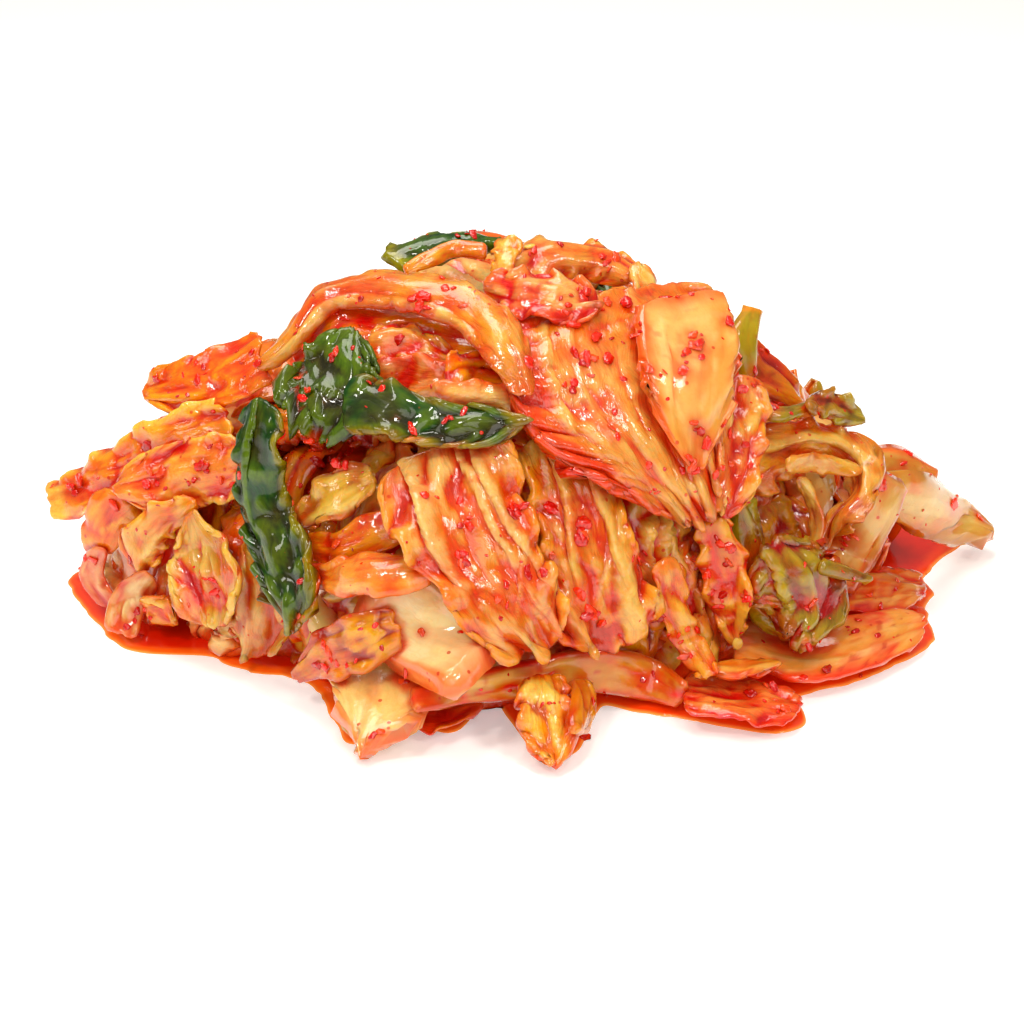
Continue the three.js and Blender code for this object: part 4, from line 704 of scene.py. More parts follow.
# How single pieces differ from their kind.
OWN = {
    "leaf_upper_middle": dict(stain=0.6, vein=(6, 0.3, 0.5), und=(1.4, 12, 7), crm=(0.9, 9, 5), rag=0.05, own=dict(base=(232, 138, 84), pale=(246, 190, 140), rim=(238, 120, 50), stain=(218, 66, 24))),
    "roll_top_green": dict(rimend=(1.3, 0), own=dict(rim=(168, 156, 60))),
    "leaf_fan": dict(crm=(0.6, 14, 10), vein=(9, 0.2, 0.6), conv=0.2, frill=(0.8, 0.9, 6), und=(1.4, 18, 10), wrk=(0.18, 8.0, 2.2), rag=0.03, ends=(0.05, 0.75), rim=(0.2, 1.6), rimend=(0, 0.4), rimwide=0.4, rimk=0.95, stain=0.4, palew=0.0, step=0.45, hem=0.5,
                     own=dict(base=(222, 138, 84), pale=(238, 186, 132), rim=(234, 104, 20), stain=(222, 88, 34))),
    "leaf_arch": dict(vein=(5, 0.5, 0.55), frill=(0.3, 0.3, 9), und=(0.6, 22, 6), crm=(0.5, 14, 5), wrk=(0.15, 14, 2.0), rag=0.03, stain=0.32, rim=(0.2, 1.0), rimend=(0.2, 0.9), rimwide=0.26, step=0.45, melt=0.8,
                      own=dict(base=(228, 152, 94), pale=(242, 196, 138), rim=(196, 92, 26), stain=(214, 84, 34))),
    "stem_slab_top": dict(vein=(7, 0.15, 0.9), und=(0.7, 16, 8), crm=(0.4, 16, 9), wrk=(0.06, 12, 2), melt=0.45, rag=0.04, ends=(0.02, 0.5), stain=0.3, rim=(0.1, 1.2), rimend=(0.9, 0.5), own=dict(base=(236, 168, 114), pale=(250, 210, 160), rim=(236, 116, 56))),
    "leaf_frill_left": dict(crm=(0.8, 12, 6), vein=(6, 0.9, 0.5), frill=(1.2, 1.9, 14), und=(1.6, 18, 7), wrk=(0.4, 9, 1.4), rag=0.02, calm=1.0, ends=(0.2, 0.25), stain=0.35, rimend=(0.1, 0.8), step=0.45, hem=0.8,
                            own=dict(base=(224, 136, 78), pale=(246, 196, 146), rim=(244, 160, 96), stain=(226, 92, 30))),
    "leaf_frill_right": dict(crm=(0.8, 12, 6), vein=(5.5, 0.9, 0.5), frill=(1.1, 1.8, 12), und=(1.5, 16, 6), wrk=(0.4, 8, 1.3), rag=0.03, calm=1.0, ends=(0.1, 0.3), stain=0.35, rimend=(0, 0.7), step=0.45, hem=0.8,
                             own=dict(base=(218, 140, 72), pale=(242, 194, 134), rim=(242, 160, 90), stain=(222, 92, 28))),
    "leaf_side_right": dict(vein=(4.2, 0.8, 0.62), frill=(0.9, 1.0, 8), und=(1.2, 16, 5), wrk=(0.3, 7.5, 1.44), stain=0.4, rag=0.05, own=dict(base=(238, 156, 90), pale=(250, 206, 146))),
    "stem_slab_front": dict(vein=(9, 0.07, 1.5), und=(0.25, 16, 9), crm=(0.15, 14, 8), wrk=(0.04, 12, 2), stain=0.06, palew=0.5, rim=(0.3, 1.0), rimwide=0.24, rimk=0.8, ends=(0.02, 0.06), rag=0.015, own=dict(base=(255, 204, 148), pale=(255, 230, 196), rim=(246, 124, 40))),
    "slab_low_front": dict(vein=(9, 0.07, 1.5), und=(0.3, 18, 10), crm=(0.1, 16, 9), wrk=(0.04, 12, 2), rag=0.015, stain=0.12, palew=0.3, rim=(0.6, 0.6), rimwide=0.2, rimend=(0, 0.7), ends=(0.02, 0.3), own=dict(base=(252, 200, 138), pale=(255, 230, 184), rim=(242, 124, 44))),
    "strip_long_front": dict(pal="leaf", stain=0.5, vein=(5.0, 0.4, 0.6), und=(0.8, 14, 5), crm=(0.5, 12, 5), thin=0.45, rag=0.06, own=dict(base=(212, 142, 84), pale=(238, 190, 130), rim=(206, 96, 40))),
    "wedge_right": dict(vein=(6, 0.08, 1), und=(0.4, 18, 6), crm=(0.1, 14, 6), wrk=(0.04, 12, 2.0), stain=0.2, rim=(0.2, 0.9), rimk=0.6, own=dict(base=(222, 172, 114), pale=(240, 206, 152), rim=(196, 132, 60))),
    "stem_behind_right": dict(stain=0.2, own=dict(base=(214, 156, 104), pale=(236, 196, 146))),
    "stem_diagonal_right": dict(stain=0.3, thin=0.6, vein=(4.5, 0.3, 0.5), und=(0.6, 14, 6), crm=(0.3, 12, 5), wrk=(0.16, 12, 1.4), own=dict(base=(214, 160, 110), pale=(240, 204, 156), rim=(190, 100, 46))),
    "slab_back_right": dict(pal="pink", stain=0.5, vein=(6, 0.15, 0.8), und=(0.8, 9, 5), crm=(0.6, 8, 4), rag=0.1, ends=(0.05, 0.3), thin=0.45, rimk=0.6, own=dict(base=(228, 122, 72), pale=(244, 176, 124), rim=(222, 84, 32))),
    "slab_flat_right": dict(pal="pink", stain=0.45, vein=(7, 0.1, 0.9), und=(0.4, 14, 8), crm=(0.3, 12, 7), wrk=(0.06, 9, 1.8), rimk=0.7, rimwide=0.2, rag=0.05, ends=(0.05, 0.25), thin=0.6, own=dict(base=(238, 164, 112), pale=(250, 204, 156), rim=(238, 92, 26), stain=(234, 92, 34))),
    "leaf_red_low_right": dict(pal="orange", stain=0.55, vein=(5, 0.4, 0.6), und=(1.2, 9, 5), crm=(0.9, 8, 4), wrk=(0.25, 7, 1.4), rag=0.1, own=dict(base=(220, 100, 60), pale=(242, 160, 116), rim=(230, 96, 44), stain=(212, 50, 16))),
    "stick_low_right": dict(pal="leaf", stain=0.5, thin=0.5, vein=(2.2, 0.35, 0.4), und=(0.9, 8, 4), crm=(0.6, 8, 3), rag=0.12, ends=(0.3, 0.6), own=dict(base=(222, 138, 78), pale=(244, 190, 128), rim=(228, 120, 60))),
    "leaf_dark_low": dict(pal="orange", stain=0.7, own=dict(base=(206, 66, 18), pale=(232, 110, 44), stain=(190, 34, 8))),
    "roll_right": dict(vein=(7, 0.5, 0.5), frill=(0.9, 0.8, 9), und=(1.3, 14, 6), crm=(1.1, 10, 6), wrk=(0.22, 9.0, 1.56), thin=0.35, rag=0.04, stain=0.35, own=dict(base=(212, 146, 86), pale=(238, 192, 132), rim=(212, 132, 66), stain=(198, 88, 32), deep=(140, 40, 8))),
    "tongue_roll_right": dict(pal="brown", vein=(4, 0.3, 0.5), und=(1.4, 8, 5), crm=(1.0, 6, 4), frill=(0.6, 0.6, 6), thin=0.3, stain=0.3, ends=(0.5, 0.6), rag=0.18, own=dict(base=(216, 156, 96), pale=(240, 200, 142))),
    "strip_hang_right": dict(pal="brown", stain=0.3, rag=0.15, ends=(0.5, 0.5), own=dict(base=(212, 152, 90), pale=(238, 198, 138))),
    "leaf_inner_right": dict(pal="brown", stain=0.8, own=dict(base=(190, 104, 46), pale=(222, 156, 86), stain=(186, 60, 16))),
    "leaf_crumple_right": dict(stain=0.6, und=(1.6, 10, 8), crm=(1.1, 10, 8), frill=(1.3, 1.3, 8), own=dict(base=(140, 106, 48), pale=(188, 164, 96), stain=(166, 66, 20), rim=(156, 120, 54), deep=(110, 30, 6))),
    "leaf_tip_green_right": dict(vein=(5.0, 0.84, 0.62)),
    "tongue_left": dict(pal="orange", stain=0.35, vein=(5, 0.4, 0.5), und=(1.2, 12, 6), crm=(0.8, 8, 4), rag=0.16, rimend=(2.2, 0), hem=0.1, own=dict(base=(232, 126, 56), pale=(248, 182, 106), rim=(250, 210, 130), stain=(226, 76, 20))),
    "tongue_left_low": dict(pal="orange", stain=0.5, vein=(5, 0.4, 0.5), und=(1.2, 12, 6), crm=(0.8, 9, 5), rag=0.07, ends=(0.5, 0.2), rim=(1.1, 1.1), rimwide=0.16, rimk=1.0, hem=0.3, own=dict(base=(238, 124, 56), pale=(250, 180, 116), rim=(250, 190, 120), stain=(224, 66, 20))),
    "leaf_fold_left": dict(pal="orange", stain=0.3, und=(1.4, 12, 6), own=dict(base=(240, 152, 66), pale=(252, 198, 112))),
    "tongue_upper_left": dict(pal="orange", stain=0.3, und=(1.4, 12, 7), crm=(0.7, 9, 5), rag=0.12, ends=(0.4, 0.1), own=dict(base=(240, 124, 34), pale=(250, 178, 84), rim=(246, 150, 52), stain=(226, 84, 14))),
    "leaf_under_arch": dict(pal="orange", stain=0.85, vein=(4.2, 0.84, 0.62)),
    "leaf_curl_left": dict(pal="yellow", stain=0.35, vein=(6, 0.5, 0.5), crm=(0.8, 12, 6), rag=0.03, hem=0.4, own=dict(base=(222, 158, 94), pale=(246, 206, 146), rim=(240, 170, 92), stain=(222, 96, 44))),
    "leaf_cup_left": dict(pal="yellow", stain=0.5, vein=(7, 0.4, 0.5), crm=(0.7, 12, 7), und=(1.0, 16, 8), frill=(0.5, 0.6, 12), rag=0.03, calm=1.0, hem=0.8, rim=(1.1, 1.1), rimend=(0.3, 1.1), rimwide=0.16, own=dict(base=(210, 146, 84), pale=(238, 198, 136), rim=(238, 196, 122), stain=(222, 84, 36))),
    "leaf_low_left": dict(pal="yellow", stain=0.3, vein=(6, 0.5, 0.5), crm=(1.2, 9, 5), und=(2.0, 12, 6), own=dict(base=(202, 146, 92), pale=(234, 200, 144), rim=(214, 150, 86), stain=(210, 88, 36))),
    "leaf_back_low_left": dict(pal="pink", stain=0.6, own=dict(base=(206, 120, 78), pale=(230, 170, 124))),
    "strip_pink_left": dict(pal="pink", stain=0.4, vein=(2.0, 0.5, 0.35), und=(1.0, 9, 4), crm=(0.5, 8, 3), wrk=(0.25, 9, 1.0), calm=0, rag=0.1, thin=0.3, ends=(0.3, 0.2), own=dict(base=(220, 136, 98), pale=(246, 206, 168), rim=(224, 106, 56), stain=(214, 62, 30))),
    "strip_white_left": dict(pal="pink", stain=0.3, vein=(2.0, 0.5, 0.35), und=(1.0, 9, 4), crm=(0.5, 8, 3), wrk=(0.25, 9, 1.0), calm=0, rag=0.1, thin=0.3, ends=(0.3, 0.1), rim=(0.5, 0.8), own=dict(base=(214, 150, 108), pale=(244, 212, 176), rim=(222, 118, 66), stain=(214, 76, 36))),
    "leaf_small_left": dict(pal="orange", stain=0.4, vein=(3, 0.5, 0.4), und=(1.4, 6, 4), crm=(1.1, 5, 4), rag=0.2, ends=(0.4, 0.5), own=dict(base=(232, 152, 80), pale=(248, 204, 128))),
    "leaf_bit_front": dict(pal="yellow", vein=(5.0, 0.67, 0.62), stain=0.25, own=dict(base=(246, 178, 92), pale=(252, 216, 140), rim=(244, 128, 50))),
    "stub_front": dict(pal="brown", stain=0.4, thin=0.7, und=(0.8, 8, 4), crm=(0.6, 8, 4), own=dict(base=(206, 124, 58), pale=(236, 178, 104))),
    "band_cream_upper": dict(pal="cream", stain=0.25, vein=(5.0, 0.63, 0.62), own=dict(base=(246, 196, 132))),
    "leaf_pink_upper": dict(pal="pink", stain=0.5),
    "leaf_folds_upper": dict(pal="leaf", stain=0.6, vein=(5.0, 0.67, 0.62)),
    "leaf_crumple_upper": dict(pal="orange", stain=0.5, und=(1.44, 16, 5), wrk=(0.5, 7.5, 1.44)),
    "leaf_ribbed_left": dict(pal="brown", vein=(4.2, 0.59, 0.62), stain=0.3, own=dict(base=(220, 172, 104), pale=(240, 204, 140))),
    "leaf_fold_orange": dict(pal="orange", stain=0.35),
    "tongue_front": dict(pal="orange", vein=(5.0, 0.4, 0.6), stain=0.3, rag=0.1, own=dict(base=(232, 142, 76), pale=(246, 190, 124), rim=(232, 128, 56))),
    "leaf_brown_front": dict(pal="brown", vein=(5.0, 0.76, 0.62), stain=0.4, own=dict(base=(208, 128, 56), pale=(238, 176, 100), rim=(196, 92, 30))),
    "leaf_orange_right": dict(pal="leaf", vein=(4, 0.6, 0.5), und=(1.2, 10, 5), crm=(1.1, 7, 4), frill=(0.9, 0.8, 7), rag=0.07, stain=0.5, own=dict(base=(226, 138, 66), pale=(246, 190, 116), rim=(238, 150, 70))),
    "strip_right_centre": dict(pal="leaf", stain=0.4, vein=(4, 0.5, 0.5), und=(1.2, 9, 4), crm=(0.9, 7, 4), frill=(0.9, 0.8, 7), rag=0.12, own=dict(base=(226, 146, 78), pale=(246, 196, 126), rim=(236, 150, 76))),
    "roll_top_right": dict(pal="leaf", stain=0.4, vein=(5.0, 0.63, 0.62)),
    "strip_top_orange": dict(pal="orange", stain=0.3, own=dict(base=(228, 138, 60), pale=(244, 184, 104))),
    "tuft_top": dict(pal="orange", stain=0.3, vein=(6, 0.4, 0.5), und=(0.7, 12, 6), crm=(0.6, 9, 5), own=dict(base=(240, 170, 92), pale=(250, 208, 140))),
    "tuft_top_right": dict(pal="cream", stain=0.3),
    "strip_yellow_right": dict(pal="yellow"),
    "leaf_upper_right": dict(pal="brown", own=dict(base=(222, 120, 52))),
    "stick_right": dict(pal="yellow", stain=0.3, rim=(0.4, 0.4), rimend=(1.2, 0.3), own=dict(base=(176, 152, 64), pale=(210, 186, 100), rim=(232, 150, 60))),
    "green_leaf_upper": dict(stain=0.3, rag=0.12, frill=(1.1, 0.9, 11), rim=(0.4, 0.6), rimwide=0.2),
    "green_leaf_blade": dict(vein=(7, 0.5, 0.4), und=(1.4, 11, 6), rag=0.05, frill=(0.7, 0.6, 10), rim=(0.5, 0.9), rimend=(0, 1.2), rimwide=0.3, own=dict(rim=(170, 132, 62))),
    "green_leaf_branch": dict(vein=(7, 0.6, 0.45), und=(1.6, 11, 6), rag=0.07, frill=(0.8, 0.7, 10), rim=(1.2, 0.0), rimend=(0, 1.2), rimwide=0.3, own=dict(rim=(150, 132, 66))),
    "leaf_right_under": dict(pal="leaf", stain=0.8),
}

thin = {"leaf": 0.45, "tongue": 0.42, "rib": 1.0, "green": 0.7, "greenleaf": 0.62, "greenrib": 1.0}
for k, (name, (kind, thick, rows)) in enumerate(LEAVES.items()):
    st = dict(STYLE[kind])
    own = dict(OWN.get(name, {}))
    colours = own.pop("own", None)
    flat = own.pop("thin", thin[kind])
    st.update(own)
    if colours:
        key = "own " + name
        PAL[key] = dict(PAL[st["pal"]])
        PAL[key].update({n: dye(c) for n, c in colours.items()})
        st["pal"] = key
    path = Path(rows)
    v, f, col = grow_piece(path.at, path.length, path.broad, max(0.7, thick * flat), st, 1000 + 37 * k)
    add_mesh(name, v, f, col, MAT[SLOT[kind]], stands_for=[name])
HERO_COUNT = sum(len(f) for f in BVH_F) * 2

# ------------------------------------------------------------------ the tangle under and behind them
# Directions from a centre inside the heap, flattened to a disc: the middle is straight up and the
# unit circle is level with the surface it lies on. REACH says how far out the tangle is by now.
CEN = np.array([0.0, 8.0, 1.5]) + SHIFT
SCL = np.array([82.0, 56.0, 64.0])
NG, HALF = 300, 1.3
GA, GB = np.meshgrid(np.linspace(-HALF, HALF, NG), np.linspace(-HALF, HALF, NG), indexing="ij")


def dirs(a, b):
    th = np.minimum(np.hypot(a, b), 1.12) * math.pi / 2
    ph = np.arctan2(b, a)
    return np.stack([np.sin(th) * np.cos(ph), np.sin(th) * np.sin(ph), np.cos(th)], -1)


def chart(p):
    q = (p - CEN) / SCL
    r = np.maximum(np.linalg.norm(q, axis=-1), 1e-6)
    th = np.arccos(np.clip(q[..., 2] / r, -1, 1)) / (math.pi / 2)
    ph = np.arctan2(q[..., 1], q[..., 0])
    return th * np.cos(ph), th * np.sin(ph), r


def unchart(a, b, r):
    return CEN + SCL * dirs(a, b) * r[..., None]


def look(m, a, b):
    x = np.clip((a + HALF) / (2 * HALF) * (NG - 1), 0, NG - 1.001)
    y = np.clip((b + HALF) / (2 * HALF) * (NG - 1), 0, NG - 1.001)
    i, j = x.astype(int), y.astype(int)
    s, t = x - i, y - j
    return (m[i, j] * (1 - s) + m[i + 1, j] * s) * (1 - t) + (m[i, j + 1] * (1 - s) + m[i + 1, j + 1] * s) * t


def cast_map(tree, miss):
    d = dirs(GA, GB) * SCL
    n = np.linalg.norm(d, axis=-1)
    out = np.full((NG, NG), miss, float)
    o = Vector(CEN.tolist())
    near = np.hypot(GA, GB) <= 1.1
    for i in range(NG):
        for j in range(NG):
            if near[i, j]:
                dd = d[i, j] / n[i, j]
                hit = tree.ray_cast(o, Vector(dd.tolist()), 400)
                if hit[0] is not None:
                    out[i, j] = hit[3] / n[i, j]
    return out


heap_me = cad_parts["heap"].data
hv = np.empty(len(heap_me.vertices) * 3, np.float32)
heap_me.vertices.foreach_get("co", hv)
hv = hv.reshape(-1, 3) / MM
heap_tree = BVHTree.FromPolygons(hv.tolist(), [list(p.vertices) for p in heap_me.polygons])
OUTLINE = cast_map(heap_tree, 0.6)
hero_tree = BVHTree.FromPolygons(np.concatenate(BVH_V).tolist(), np.concatenate(BVH_F).tolist())
CEIL = cast_map(hero_tree, 9.0)
RHO = np.hypot(GA, GB)
MMU = np.linalg.norm(dirs(GA, GB) * SCL, axis=-1)      # mm for one unit of reach
# below the widest place the sides come straight down
th = np.minimum(RHO, 1.0) * math.pi / 2
edge_r = look(OUTLINE, GA / np.maximum(RHO, 1e-6) * 0.8, GB / np.maximum(RHO, 1e-6) * 0.8)
straight = edge_r * math.sin(0.8 * math.pi / 2) / np.sin(np.maximum(th, 0.3)) * (1 + 0.03 * smooth(RHO, 0.8, 1.0))
OUTLINE = np.where(RHO > 0.8, np.maximum(OUTLINE, straight), OUTLINE)
ceil_wide = -grow_max(-CEIL, 4)
LIMIT = np.minimum(CEIL - 2.6 / MMU, np.where(ceil_wide < 8, np.maximum(ceil_wide - 1.2 / MMU, OUTLINE - 2.5 / MMU), 9.0))
LIMIT = np.minimum(LIMIT, blur(OUTLINE, 2) - 1.2 / MMU)
REACH = np.minimum(blur(OUTLINE, 3) - 8.0 / MMU, LIMIT)
CORE = np.minimum(blur(OUTLINE, 2) - 10.0 / MMU, blur(np.minimum(CEIL, OUTLINE + 0.2), 2) - 5.0 / MMU)

rng = np.random.default_rng(20)
FILL = {"leaf": [], "leaf_orange": [], "stem": [], "leaf_green": [], "leaf_olive": []}


def surface_normal(p):
    q = (p - CEN) / SCL
    return unit(q / SCL)


def lay(kind, a0, b0, length, broad, turn, thick, st, seed, bend=0.0, crown=0.0, tuck=(2.5, 1.5)):
    """Lays one leaf over the tangle and raises the tangle by it."""
    global REACH
    low = np.minimum(blur(REACH, max(1.5, broad / 9.0)) + 0.5 / MMU, LIMIT)
    low = np.maximum(low, np.minimum(blur(REACH, 1.2) - 0.8 / MMU, LIMIT))
    p = unchart(np.array(a0), np.array(b0), look(low, np.array(a0), np.array(b0)))
    n = surface_normal(p)
    down = unit(-UP - n * (-UP @ n)) if abs(n[2]) < 0.985 else unit(np.array([0.0, -1.0, 0.0]))
    d = down * math.cos(turn) + np.cross(n, down) * math.sin(turn)
    m = 11
    half = []
    for sgn in (-1, 1):
        q, e, pts = p.copy(), d * sgn, []
        for i in range((m - 1) // 2):
            nn = surface_normal(q)
            e = unit(e - nn * (e @ nn))
            c = bend / (m - 1) * sgn
            e = e * math.cos(c) + np.cross(nn, e) * math.sin(c)
            q = q + e * length / (m - 1)
            a, b, _ = chart(q)
            q = unchart(a, b, look(low, a, b))
            pts.append(q)
        half.append(pts)
    spine = np.array(half[0][::-1] + [p] + half[1])
    tan = unit(np.gradient(spine, axis=0))
    nrm = surface_normal(spine)
    side = unit(np.cross(nrm, tan))

    def sheet(u, v):
        t = np.clip(u, -0.1, 1.1) * (m - 1)
        i = np.clip(np.floor(t).astype(int), 0, m - 2)
        s = (t - i)[..., None]
        c = spine[i] * (1 - s) + spine[i + 1] * s
        w = side[i] * (1 - s) + side[i + 1] * s
        x = c + w * (v * broad / 2)[..., None]
        a, b, _ = chart(x)
        r = look(low, a, b)
        mm = look(MMU, a, b)
        tuck_in = tuck[0] * smooth(1 - u, 0.75, 1.0) + tuck[1] * smooth(u, 0.85, 1.0)
        r = r + (crown * (1 - v * v) - tuck_in) / mm
        r = np.minimum(r, look(LIMIT, a, b))
        return unchart(a, b, r)

    outward = surface_normal(p)
    v, f, col = grow_piece(sheet, length, broad, thick, st, seed, outward=outward, lift=thick * 0.5)
    a, b, r = chart(v)
    ia = np.clip(np.round((a + HALF) / (2 * HALF) * (NG - 1)).astype(int), 0, NG - 1)
    ib = np.clip(np.round((b + HALF) / (2 * HALF) * (NG - 1)).astype(int), 0, NG - 1)
    new = np.zeros((NG, NG))
    np.maximum.at(new, (ia, ib), r)
    REACH = np.minimum(np.maximum(REACH, np.where(new > 0, new, 0)), LIMIT + 0.5 / MMU)
    FILL[SLOT[kind]].append((v, f, col))


plan = []
golden = math.pi * (3 - math.sqrt(5))
N_FILL = 132
for i in range(N_FILL):
    rho = math.sqrt((i + 0.5) / N_FILL) * 1.0
    a = rho * math.cos(i * golden) + rng.normal(0, 0.03)
    b = rho * math.sin(i * golden) + rng.normal(0, 0.03)
    rho = min(math.hypot(a, b), 0.99)
    ang = math.atan2(b, a)
    a, b = rho * math.cos(ang), rho * math.sin(ang)
    hidden = look((CEIL < 8).astype(float), a + 0.06 * np.cos(np.arange(8)), b + 0.06 * np.sin(np.arange(8))).mean()
    front = -math.sin(ang) * rho > 0.12 and hidden > 0.1
    plan.append((look(MMU * REACH, np.array(a), np.array(b)) * math.cos(rho * math.pi / 2) + rng.normal(0, 9), a, b, front, hidden))
plan.sort(key=lambda r: r[0])
for i, (_, a, b, front, hidden) in enumerate(plan):
    pick = rng.random()
    kind = "leaf" if pick < 0.48 else "tongue" if pick < 0.66 else "rib" if pick < 0.86 else "green" if pick < 0.93 else "greenleaf"
    if front and kind == "green":
        kind = "leaf"
    st = dict(STYLE[kind])
    size = 0.62 if front else 1.0
    if kind == "leaf":
        length, broad, thick = rng.uniform(26, 52) * size, rng.uniform(14, 28) * size, rng.uniform(0.8, 1.2)
        st["pal"] = rng.choice(["leaf", "orange", "yellow", "pink", "brown", "cream"], p=[0.32, 0.2, 0.14, 0.14, 0.08, 0.12])
        st.update(vein=(rng.uniform(2.8, 5), rng.uniform(0.9, 1.9), rng.uniform(0.6, 0.95)), und=(rng.uniform(0.8, 2.0), 12, rng.uniform(4, 7)),
                  frill=(rng.uniform(0.7, 1.6), rng.uniform(0.8, 1.6), rng.uniform(6, 10)), stain=rng.uniform(0.35, 0.8))
    elif kind == "tongue":
        length, broad, thick = rng.uniform(24, 44) * size, rng.uniform(8, 14) * size, rng.uniform(1.0, 1.8)
        st["pal"] = rng.choice(["orange", "leaf", "yellow", "pink"], p=[0.45, 0.25, 0.15, 0.15])
        st.update(stain=rng.uniform(0.3, 0.7))
    elif kind == "rib":
        length, broad, thick = rng.uniform(20, 38) * size, rng.uniform(7, 16) * size, rng.uniform(2.4, 4.5) * (0.7 if front else 1)
        st["pal"] = rng.choice(["cream", "pink", "leaf"], p=[0.6, 0.25, 0.15])
        st.update(stain=rng.uniform(0.2, 0.5))
    else:
        length, broad, thick = rng.uniform(20, 40) * size, rng.uniform(8, 15) * size, 1.2
        st.update(und=(rng.uniform(1.0, 1.8), 7, 5))
    # painted shade: pieces in front, under the loose leaves, get more of the dark juice stain, which also stands for
    # the shade in the gaps there
    if front:
        st["stain"] = min(0.95, st["stain"] + 0.35)
    st["step"] = 0.75 if front else 1.0
    st["curl"] = (rng.uniform(-1.0, 2.2), rng.uniform(-1.0, 2.2))
    turn = rng.normal(0, 0.7) if kind != "rib" else rng.uniform(-1.5, 1.5)
    lay(kind, a, b, length, broad, turn, thick, st, 5000 + 53 * i, bend=rng.normal(0, 0.5), crown=rng.uniform(0, 1.6))


def join(parts):
    v, f, c, n = [], [], [], 0
    for a, b, col in parts:
        v.append(a)
        f.append(b + n)
        c.append(col)
        n += len(a)
    return np.concatenate(v), np.concatenate(f), np.concatenate(c)


for slot, parts in FILL.items():
    if parts:
        v, f, col = join(parts)
        print("tangle", slot, len(parts), "pieces", len(f) * 2, "triangles")
        add_mesh("tangle_" + slot, v, f, col, DEEP[slot])

# the closed body inside, folded and dark with juice; where it shows between the leaves, its dark red also stands in as
# painted shade of the gaps
rings, spokes = 110, 260
rho = np.linspace(0.0, 1.0, rings)
ph = np.linspace(0, 2 * math.pi, spokes, endpoint=False)
R_, P_ = np.meshgrid(rho, ph, indexing="ij")
A_, B_ = R_ * np.cos(P_), R_ * np.sin(P_)
r = look(CORE, A_, B_)
mm = look(MMU, A_, B_)
p0 = unchart(A_, B_, r)
wob = ridged(p0[..., 0] / 9 + 0.4 * p0[..., 2] / 9, p0[..., 1] / 9 + 0.5 * p0[..., 2] / 9, 77, 3)
fold = np.abs(np.sin(p0[..., 0] / 4.2 + 2.5 * fbm(p0[..., 1] / 14, p0[..., 2] / 14, 78) + p0[..., 2] / 7.0))
r = r + (1.6 * (wob - 0.6) + 1.2 * (fold - 0.8)) / mm
core_v = unchart(A_, B_, r)
core_v[..., 2] = np.maximum(core_v[..., 2], 0.3)
bottom = core_v[-1].copy()
bottom[:, 2] = 0.0
flat = np.concatenate([core_v.reshape(-1, 3), bottom, [[CEN[0], CEN[1], 0.0]]])
idx = np.arange(rings * spokes).reshape(rings, spokes)
nxt = np.roll(idx, -1, axis=1)
quads = np.stack([idx[:-1], idx[1:], nxt[1:], nxt[:-1]], -1).reshape(-1, 4)[spokes:]
base = rings * spokes
kk = np.arange(spokes)
k2 = (kk + 1) % spokes
skirt = np.stack([idx[-1], base + kk, base + k2, idx[-1][k2]], -1)
shade = fbm(p0[..., 0] / 6, (p0[..., 1] + p0[..., 2]) / 6, 79, 3)
cc = mix(np.broadcast_to(srgb((236, 56, 4)), core_v.shape), np.broadcast_to(srgb((238, 92, 18)), core_v.shape), smooth(wob + 0.4 * (shade - 0.5), 0.5, 0.95))
# painted shade: the low parts of the folds are darker red
cc = mix(cc, np.broadcast_to(srgb((206, 28, 2)), core_v.shape), 0.7 * smooth(1 - wob, 0.4, 0.9))
cc = np.concatenate([cc.reshape(-1, 3), np.repeat(srgb((170, 30, 4))[None], spokes + 1, 0)])
# top cap and base as quads that share a corner
cap = []
for k in range(0, spokes, 2):
    cap.append((0, idx[1, k], idx[1, (k + 1) % spokes], idx[1, (k + 2) % spokes]))
    cap.append((base + spokes, base + (k + 2) % spokes, base + (k + 1) % spokes, base + k))
quads = np.concatenate([quads, skirt, np.array(cap)])
used = np.unique(quads)
remap = np.full(len(flat), -1)
remap[used] = np.arange(len(used))
add_mesh("tangle_core", flat[used], remap[quads], cc[used], MAT["heap"], stands_for=["heap"])

# ------------------------------------------------------------------ juice on the surface
# painted glow: the juice emits a little light in its own colour, standing for light that comes back up through the
# shallow juice from the pale surface
jn = MAT["juice"].node_tree
jp = next(n for n in jn.nodes if n.type == "BSDF_PRINCIPLED")
jn.links.new(jp.inputs["Base Color"].links[0].from_socket, jp.inputs["Emission Color"])
jp.inputs["Emission Strength"].default_value = 0.2
J_CEN = np.array([0.0, 5.0]) + SHIFT[:2]
J_RAD = np.array([
    78.5, 77.5, 83, 91, 84, 77.5, 76, 76, 76, 71, 68, 70.5, 66, 63.5, 61, 62.5, 60, 59.5,
    59.5, 60.5, 58.5, 58.5, 62.5, 62, 61, 61, 67.5, 64.5, 66, 67, 73.5, 70, 71.5, 75.5, 78, 83,
    81, 78, 76, 74.5, 70, 59.5, 57.5, 55, 51.5, 50, 51, 54.5, 58, 63, 56.5, 53, 53, 41,
    50, 63.5, 60, 50.5, 46, 50.5, 55, 62.5, 69.5, 69, 63.5, 65.5, 69, 72, 75, 77, 76.5, 76], float)


def juice_radius(turn):
    n = len(J_RAD)
    a = np.mod(turn, 2 * math.pi) / (2 * math.pi) * n
    k = np.floor(a).astype(int)
    s = a - k
    r = [J_RAD[(k + o) % n] for o in (-1, 0, 1, 2)]
    out = r[1] + 0.5 * s * (r[2] - r[0] + s * (2 * r[0] - 5 * r[1] + 4 * r[2] - r[3] + s * (3 * (r[1] - r[2]) + r[3] - r[0])))
    c, d = np.cos(turn), np.sin(turn)
    return out + 1.6 * (fbm(c * 9 + 9, d * 9 + 9, 301, 3) - 0.5) + 1.0 * (fbm(c * 26 + 9, d * 26 + 9, 302, 2) - 0.5)


